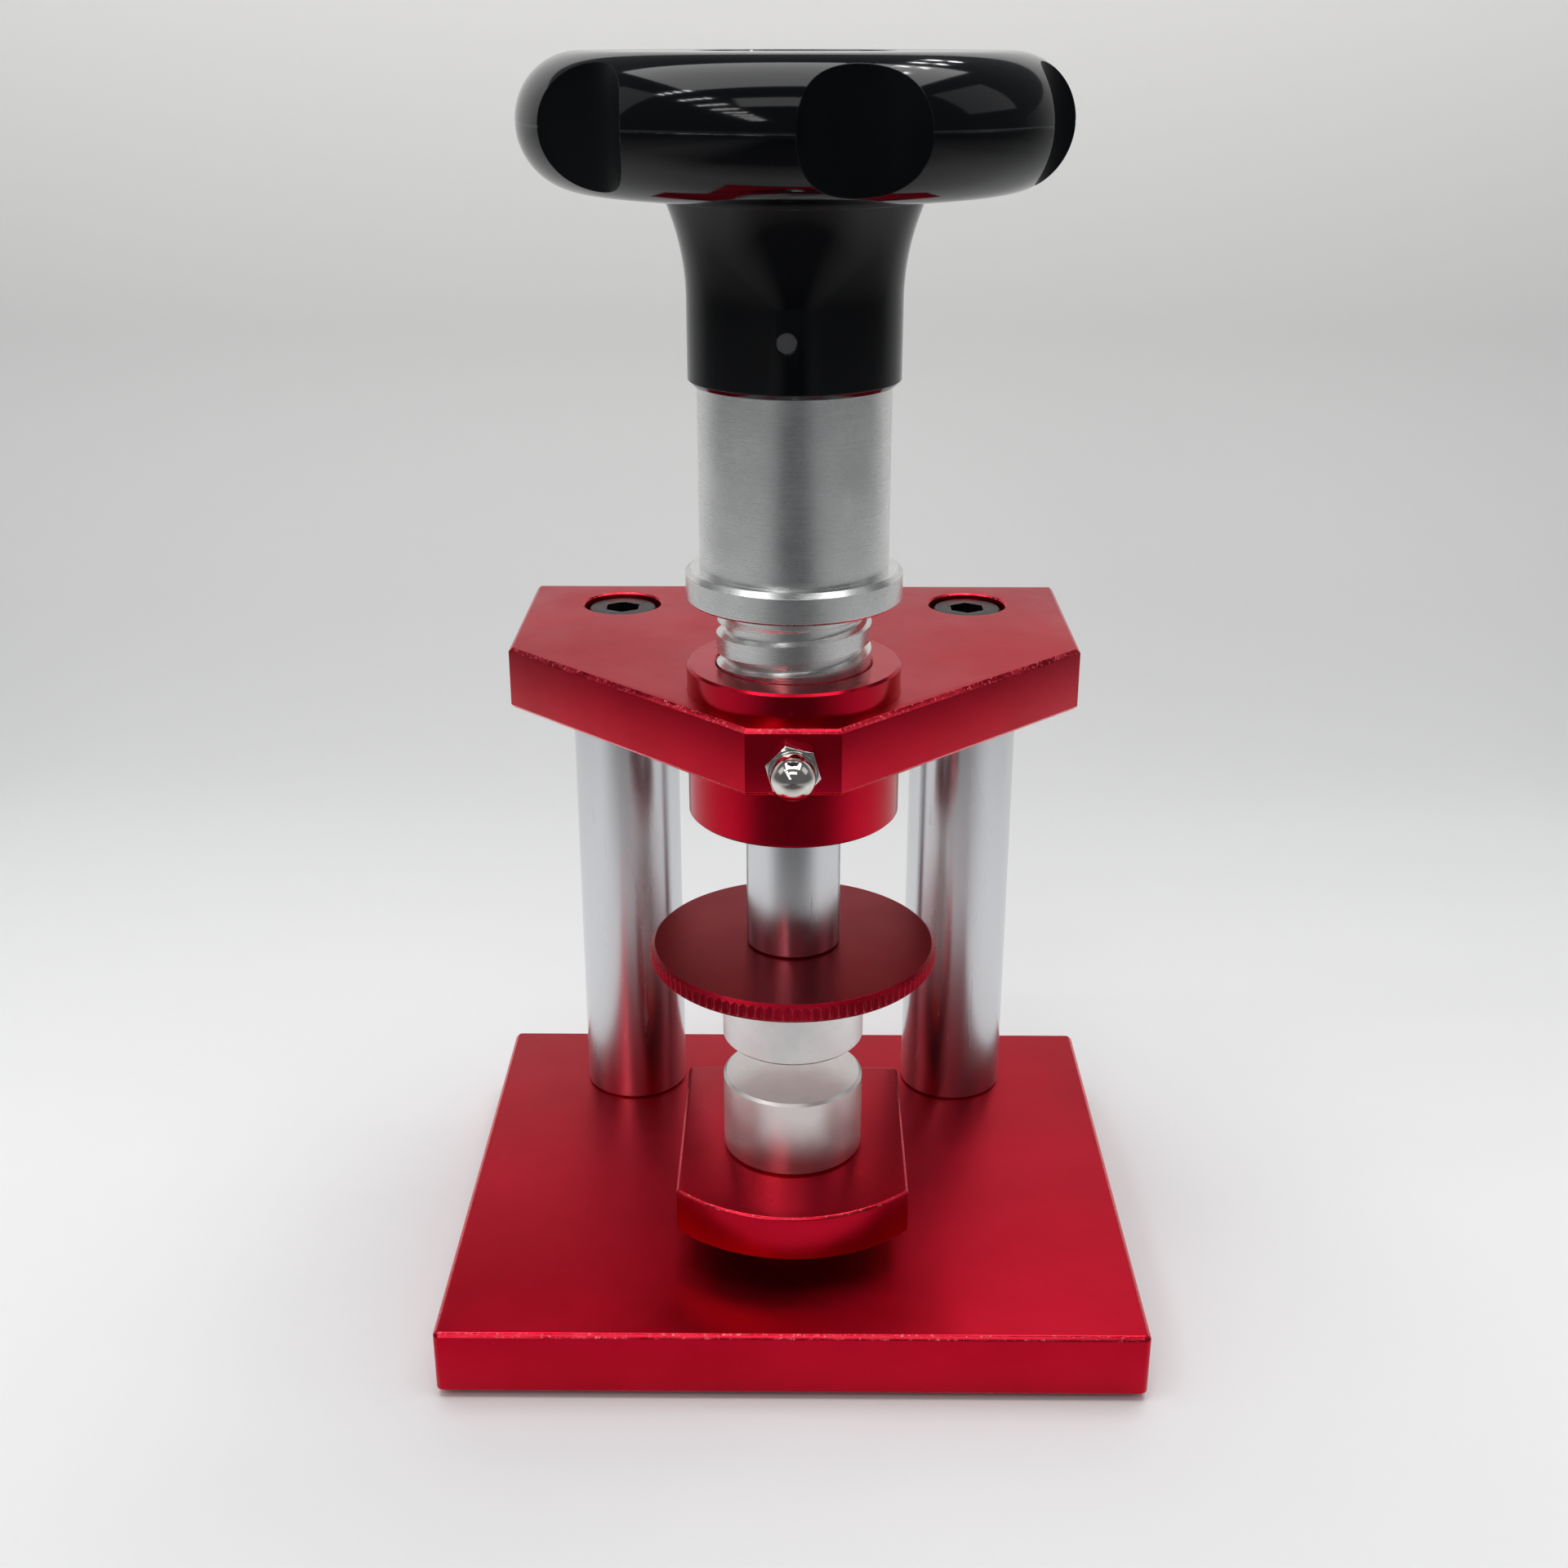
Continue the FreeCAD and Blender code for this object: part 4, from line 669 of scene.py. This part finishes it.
def top_plate():
    """Plate that narrows to a nose, bored for the bush and for the column screws' heads."""
    low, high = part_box("top_plate")
    nose = PLATE_NOSE_WIDTH / 2
    shoulder = high.y - PLATE_SIDE_LENGTH
    outline = [(-nose, low.y), (nose, low.y), (high.x, shoulder), (high.x, high.y),
               (low.x, high.y), (low.x, shoulder)]
    bush_low, bush_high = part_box("screw_nut_bush")
    bores = bmesh.new()
    bore(bores, 0, AXIS.y, (bush_high.x - bush_low.x) / 2 + BUSH_SEAT_FIT, low.z - CUT_OVERRUN,
         high.z + CUT_OVERRUN)
    radius = SCREW_HEAD_DIAMETER / 2 + HEAD_GAP
    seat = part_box("column_cap_screws")[1].z - SCREW_HEAD_HEIGHT
    mouth = [(0, seat), (radius, seat), (radius, high.z - COUNTERBORE_CHAMFER),
             (radius + COUNTERBORE_CHAMFER, high.z),
             (radius + COUNTERBORE_CHAMFER, high.z + CUT_OVERRUN), (0, high.z + CUT_OVERRUN)]
    for x in column_xs():
        spun(bores, mouth, x, node_centre("left_column").y, BORE_SEGMENTS)
    plate = mark(cut(slab(outline, low.z, high.z, PLATE_CHAMFER), bores), is_chamfer)
    return finished("top_plate_body", plate, [RED, RED_CHAMFER], "top_plate")


def lower_table():
    """Small table with a straight back and a curved front."""
    low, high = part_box("lower_table")
    corner_y = AXIS.y - TABLE_CORNER_REACH
    rise = corner_y - low.y
    radius = (high.x ** 2 + rise ** 2) / (2 * rise)
    centre_y = low.y + radius
    half_turn = math.asin(high.x / radius)
    front = []
    for step in range(TABLE_FRONT_STEPS + 1):
        turn = half_turn * (2 * step / TABLE_FRONT_STEPS - 1)
        front.append((radius * math.sin(turn), centre_y - radius * math.cos(turn)))
    back = rounded_corners([(high.x, high.y), (low.x, high.y), (low.x, 0), (high.x, 0)],
                           TABLE_BACK_CORNER_RADIUS,
                           TABLE_BACK_CORNER_SEGMENTS)[:2 * (TABLE_BACK_CORNER_SEGMENTS + 1)]
    table = mark(slab(front + back, low.z, high.z, TABLE_CHAMFER), is_chamfer)
    return finished("lower_table_body", table, [RED_TURNED, RED_CHAMFER],
                    "lower_table")


def socket_cutter(bm, x, y, top):
    """Adds a hexagonal socket to the cutting shapes."""
    radius = SCREW_SOCKET_FLATS / math.sqrt(3)
    depth = SCREW_SOCKET_DEPTH + CUT_OVERRUN
    centre = Matrix.Translation((x, y, top + CUT_OVERRUN - depth / 2))
    bmesh.ops.create_cone(bm, cap_ends=True, segments=6, radius1=radius, radius2=radius,
                          depth=depth, matrix=centre)


def column_cap_screws():
    """Two socket cap screws with chamfered heads, each bored with a hexagonal socket."""
    low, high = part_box("column_cap_screws")
    head = SCREW_HEAD_DIAMETER / 2
    shank = SCREW_DIAMETER / 2
    seat = high.z - SCREW_HEAD_HEIGHT
    outline = [(0, low.z), (shank - SCREW_HEAD_CHAMFER, low.z), (shank, low.z + SCREW_HEAD_CHAMFER),
               (shank, seat), (head, seat), (head, high.z - SCREW_HEAD_CHAMFER),
               (head - SCREW_HEAD_CHAMFER, high.z), (0, high.z)]
    screws = bmesh.new()
    sockets = bmesh.new()
    y = node_centre("left_column").y
    for x in column_xs():
        spun(screws, outline, x, y, BORE_SEGMENTS)
        socket_cutter(sockets, x, y, high.z)
    screws = cut(softened(screws), sockets)
    return finished("column_screws", screws, [BLACK_OXIDE], "column_cap_screws")


def wheel_outline():
    """(radius, height) points from the middle of the dished top round the rim to the bore's end."""
    rim = WHEEL_HIGH.x - RIM_SECTION_RADIUS
    z_flare = WHEEL_LOW.z + HUB_STRAIGHT
    flare_centre = (HUB_RADIUS + HUB_FLARE_RADIUS, z_flare)
    flare_turn = math.asin(HUB_FLARE_HEIGHT / HUB_FLARE_RADIUS)
    flare = arc(flare_centre, HUB_FLARE_RADIUS, math.pi - flare_turn, math.pi, ARC_STEPS // 3)
    away_r = flare[0][0] - rim
    away_z = flare[0][1] - RIM_HEIGHT
    tangent = math.atan2(away_z, away_r) + math.acos(RIM_SECTION_RADIUS / math.hypot(away_r, away_z))
    line = -math.asin(PARTING_LINE_HALF / RIM_SECTION_RADIUS)
    upper = arc((rim, RIM_HEIGHT), RIM_SECTION_RADIUS, math.pi / 2, -line, ARC_STEPS // 2)
    lower = arc((rim, RIM_HEIGHT), RIM_SECTION_RADIUS, line, tangent, ARC_STEPS)
    groove = (WHEEL_HIGH.x - PARTING_LINE_DEPTH, RIM_HEIGHT)
    dish_floor = WHEEL_HIGH.z - WHEEL_DISH_DEPTH
    bore_top = WHEEL_LOW.z + HUB_BORE_DEPTH
    return ([(0, dish_floor), (WHEEL_DISH_RADIUS - WHEEL_DISH_DEPTH, dish_floor),
             (WHEEL_DISH_RADIUS, WHEEL_HIGH.z)]
            + upper + [groove] + lower + flare
            + [(HUB_RADIUS, WHEEL_LOW.z + HUB_CHAMFER), (HUB_RADIUS - HUB_CHAMFER, WHEEL_LOW.z),
               (HUB_BORE_RADIUS + HUB_BORE_ENTRY, WHEEL_LOW.z),
               (HUB_BORE_RADIUS, WHEEL_LOW.z + HUB_BORE_ENTRY), (HUB_BORE_RADIUS, bore_top),
               (0, bore_top)])


def scallop_axes():
    return [from_front(SCALLOP_REACH, SCALLOP_FIRST_ANGLE + index * 2 * math.pi / SCALLOP_COUNT, 0)
            for index in range(SCALLOP_COUNT)]


def hand_wheel():
    """Moulded wheel: turned outline, finger scallops round the rim, and the drive pin's hole."""
    wheel = spun(bmesh.new(), wheel_outline(), AXIS.x, AXIS.y)
    tools = bmesh.new()
    for centre in scallop_axes():
        bore(tools, centre.x, centre.y, SCALLOP_RADIUS, RIM_HEIGHT - 2 * RIM_SECTION_RADIUS,
             WHEEL_HIGH.z + CUT_OVERRUN)
    pin = from_front(HUB_RADIUS, DRIVE_PIN_ANGLE, WHEEL_LOW.z + DRIVE_PIN_HEIGHT)
    inwards = Matrix.Rotation(DRIVE_PIN_ANGLE, 4, "Z") @ Matrix.Rotation(math.pi / 2, 4, "X")
    bmesh.ops.create_cone(tools, cap_ends=True, segments=PIN_SEGMENTS, radius1=DRIVE_PIN_RADIUS,
                          radius2=DRIVE_PIN_RADIUS, depth=DRIVE_PIN_HOLE_LENGTH,
                          matrix=Matrix.Translation(pin) @ inwards)
    wheel = cut(wheel, tools)

    def is_scallop(face):
        middle = face.calc_center_median()
        reach = min((Vector((middle.x, middle.y, 0)) - centre).length for centre in scallop_axes())
        return reach < SCALLOP_RADIUS + SCALLOP_MARGIN and abs(face.normal.z) < SCALLOP_LEAN

    return finished("hand_wheel_moulding", mark(wheel, is_scallop), [GLOSS_BLACK, MATT_BLACK],
                    "hand_wheel")


# ---- Finishes of the nodes whose CAD shape stays

def dress(node, finish):
    """Gives a CAD node a finish in place of its flat colour."""
    materials = frame["nodes"][node].data.materials
    materials.clear()
    materials.append(finish)


def dress_nodes():
    spindle = turned_silver("turned_spindle", AXIS, SILVER, 0.27, 0.0003 * MM, 3600)
    steel = ground_steel()
    shaft = polished_bar("polished_shaft", AXIS, POLISH, 0.24)
    for node in ("left_column", "right_column"):
        dress(node, polished_bar("polished_" + node, node_centre(node), POLISH, 0.22))
    dress("press_shaft", shaft)
    dress("screw_spindle", spindle)
    dress("screw_nut_bush", RED_BUSH)
    dress("knurled_disc", RED_DISC_PAINTED_SHADE)
    dress("table_pedestal", RED_TURNED)
    dress("upper_die", turned_silver("frosted_upper_die", AXIS, FROSTED_SILVER, 0.42, 0.004 * MM, 1900))
    dress("lower_die", turned_silver("turned_lower_die", AXIS, WARM_SILVER, 0.36, 0.006 * MM, 1500))
    dress("acorn_nut", nickel_plating())
    dress("rubber_feet", black_rubber())
    dress("thrust_ball_cage", pressed_brass())
    for node in ("column_base_screws", "table_screw"):
        dress(node, BLACK_OXIDE)
    # Drive pin in darkened steel: painted shade of its hole.
    dress("wheel_drive_pin", turned_silver("pin_steel_painted_shade", AXIS, PIN_PAINTED_SHADE_STEEL, 0.40, 0.002 * MM, 2200))
    for node in ("bush_lock_stud", "lower_die_stud", "upper_die_stud", "thrust_plug",
                 "thrust_upper_race", "thrust_lower_race", "thrust_balls", "shaft_retaining_washer",
                 "shaft_circlip"):
        dress(node, steel)


# ---- Set, light and camera

def sweep():
    """Floor that curves up into a backdrop."""
    bm = bmesh.new()
    half = SWEEP_WIDTH / 2
    line = [(SWEEP_FRONT, 0), (SWEEP_BACK, 0)]
    for step in range(1, SWEEP_STEPS + 1):
        turn = math.pi / 2 * step / SWEEP_STEPS
        line.append((SWEEP_BACK + SWEEP_RADIUS * math.sin(turn), SWEEP_RADIUS * (1 - math.cos(turn))))
    line.append((SWEEP_BACK + SWEEP_RADIUS, SWEEP_HEIGHT))
    verts = [bm.verts.new((-half, y, z)) for y, z in line]
    edges = [bm.edges.new(pair) for pair in zip(verts, verts[1:])]
    raised = bmesh.ops.extrude_edge_only(bm, edges=edges)["geom"]
    moved = [item for item in raised if isinstance(item, bmesh.types.BMVert)]
    bmesh.ops.translate(bm, verts=moved, vec=(SWEEP_WIDTH, 0, 0))
    floor = object_from("sweep", bm)
    floor.data.shade_smooth()
    floor.data.materials.append(sweep_paper())


def softbox(name, place, aim, width, height, power):
    """Rectangular area light that points at a place."""
    data = bpy.data.lights.new(name, "AREA")
    data.shape = "RECTANGLE"
    data.size = width
    data.size_y = height
    data.energy = power
    light = bpy.data.objects.new(name, data)
    light.location = place
    light.rotation_euler = (Vector(aim) - Vector(place)).to_track_quat("-Z", "Y").to_euler()
    bpy.context.scene.collection.objects.link(light)


def lamp_row(name, start, end, count, power):
    """Row of small lamps along a straight line, as in a ceiling strip, that sparkles in gloss."""
    for index in range(count):
        place = start.lerp(end, index / (count - 1))
        softbox(f"{name}_{index}", place, LAMP_AIM, LAMP_WIDTH, LAMP_HEIGHT, power)


def lighting():
    for box in SOFTBOXES:
        softbox(*box)
    for name, start, end, count, power, shifts in LAMP_STRIPS:
        for row, shift in enumerate(shifts):
            along = Vector((shift, 0, 0))
            lamp_row(f"{name}_{row}", Vector(start) + along, Vector(end) + along, count, power)
    world = bpy.data.worlds.new("studio")
    world.use_nodes = True
    background = world.node_tree.nodes["Background"]
    background.inputs["Color"].default_value = SURROUND_COLOUR
    background.inputs["Strength"].default_value = SURROUND_STRENGTH
    bpy.context.scene.world = world


def camera():
    data = bpy.data.cameras.new("camera")
    data.lens = CAMERA_LENS
    data.sensor_width = CAMERA_SENSOR
    data.clip_start = CAMERA_NEAREST
    view = bpy.data.objects.new("camera", data)
    view.location = CAMERA_PLACE
    view.rotation_euler = (CAMERA_TILT, CAMERA_ROLL, CAMERA_TURN)
    bpy.context.scene.collection.objects.link(view)
    bpy.context.scene.camera = view


base_plate()
top_plate()
lower_table()
column_cap_screws()
hand_wheel()
dress_nodes()
sweep()
lighting()
camera()
bpy.context.scene.view_settings.view_transform = "Standard"
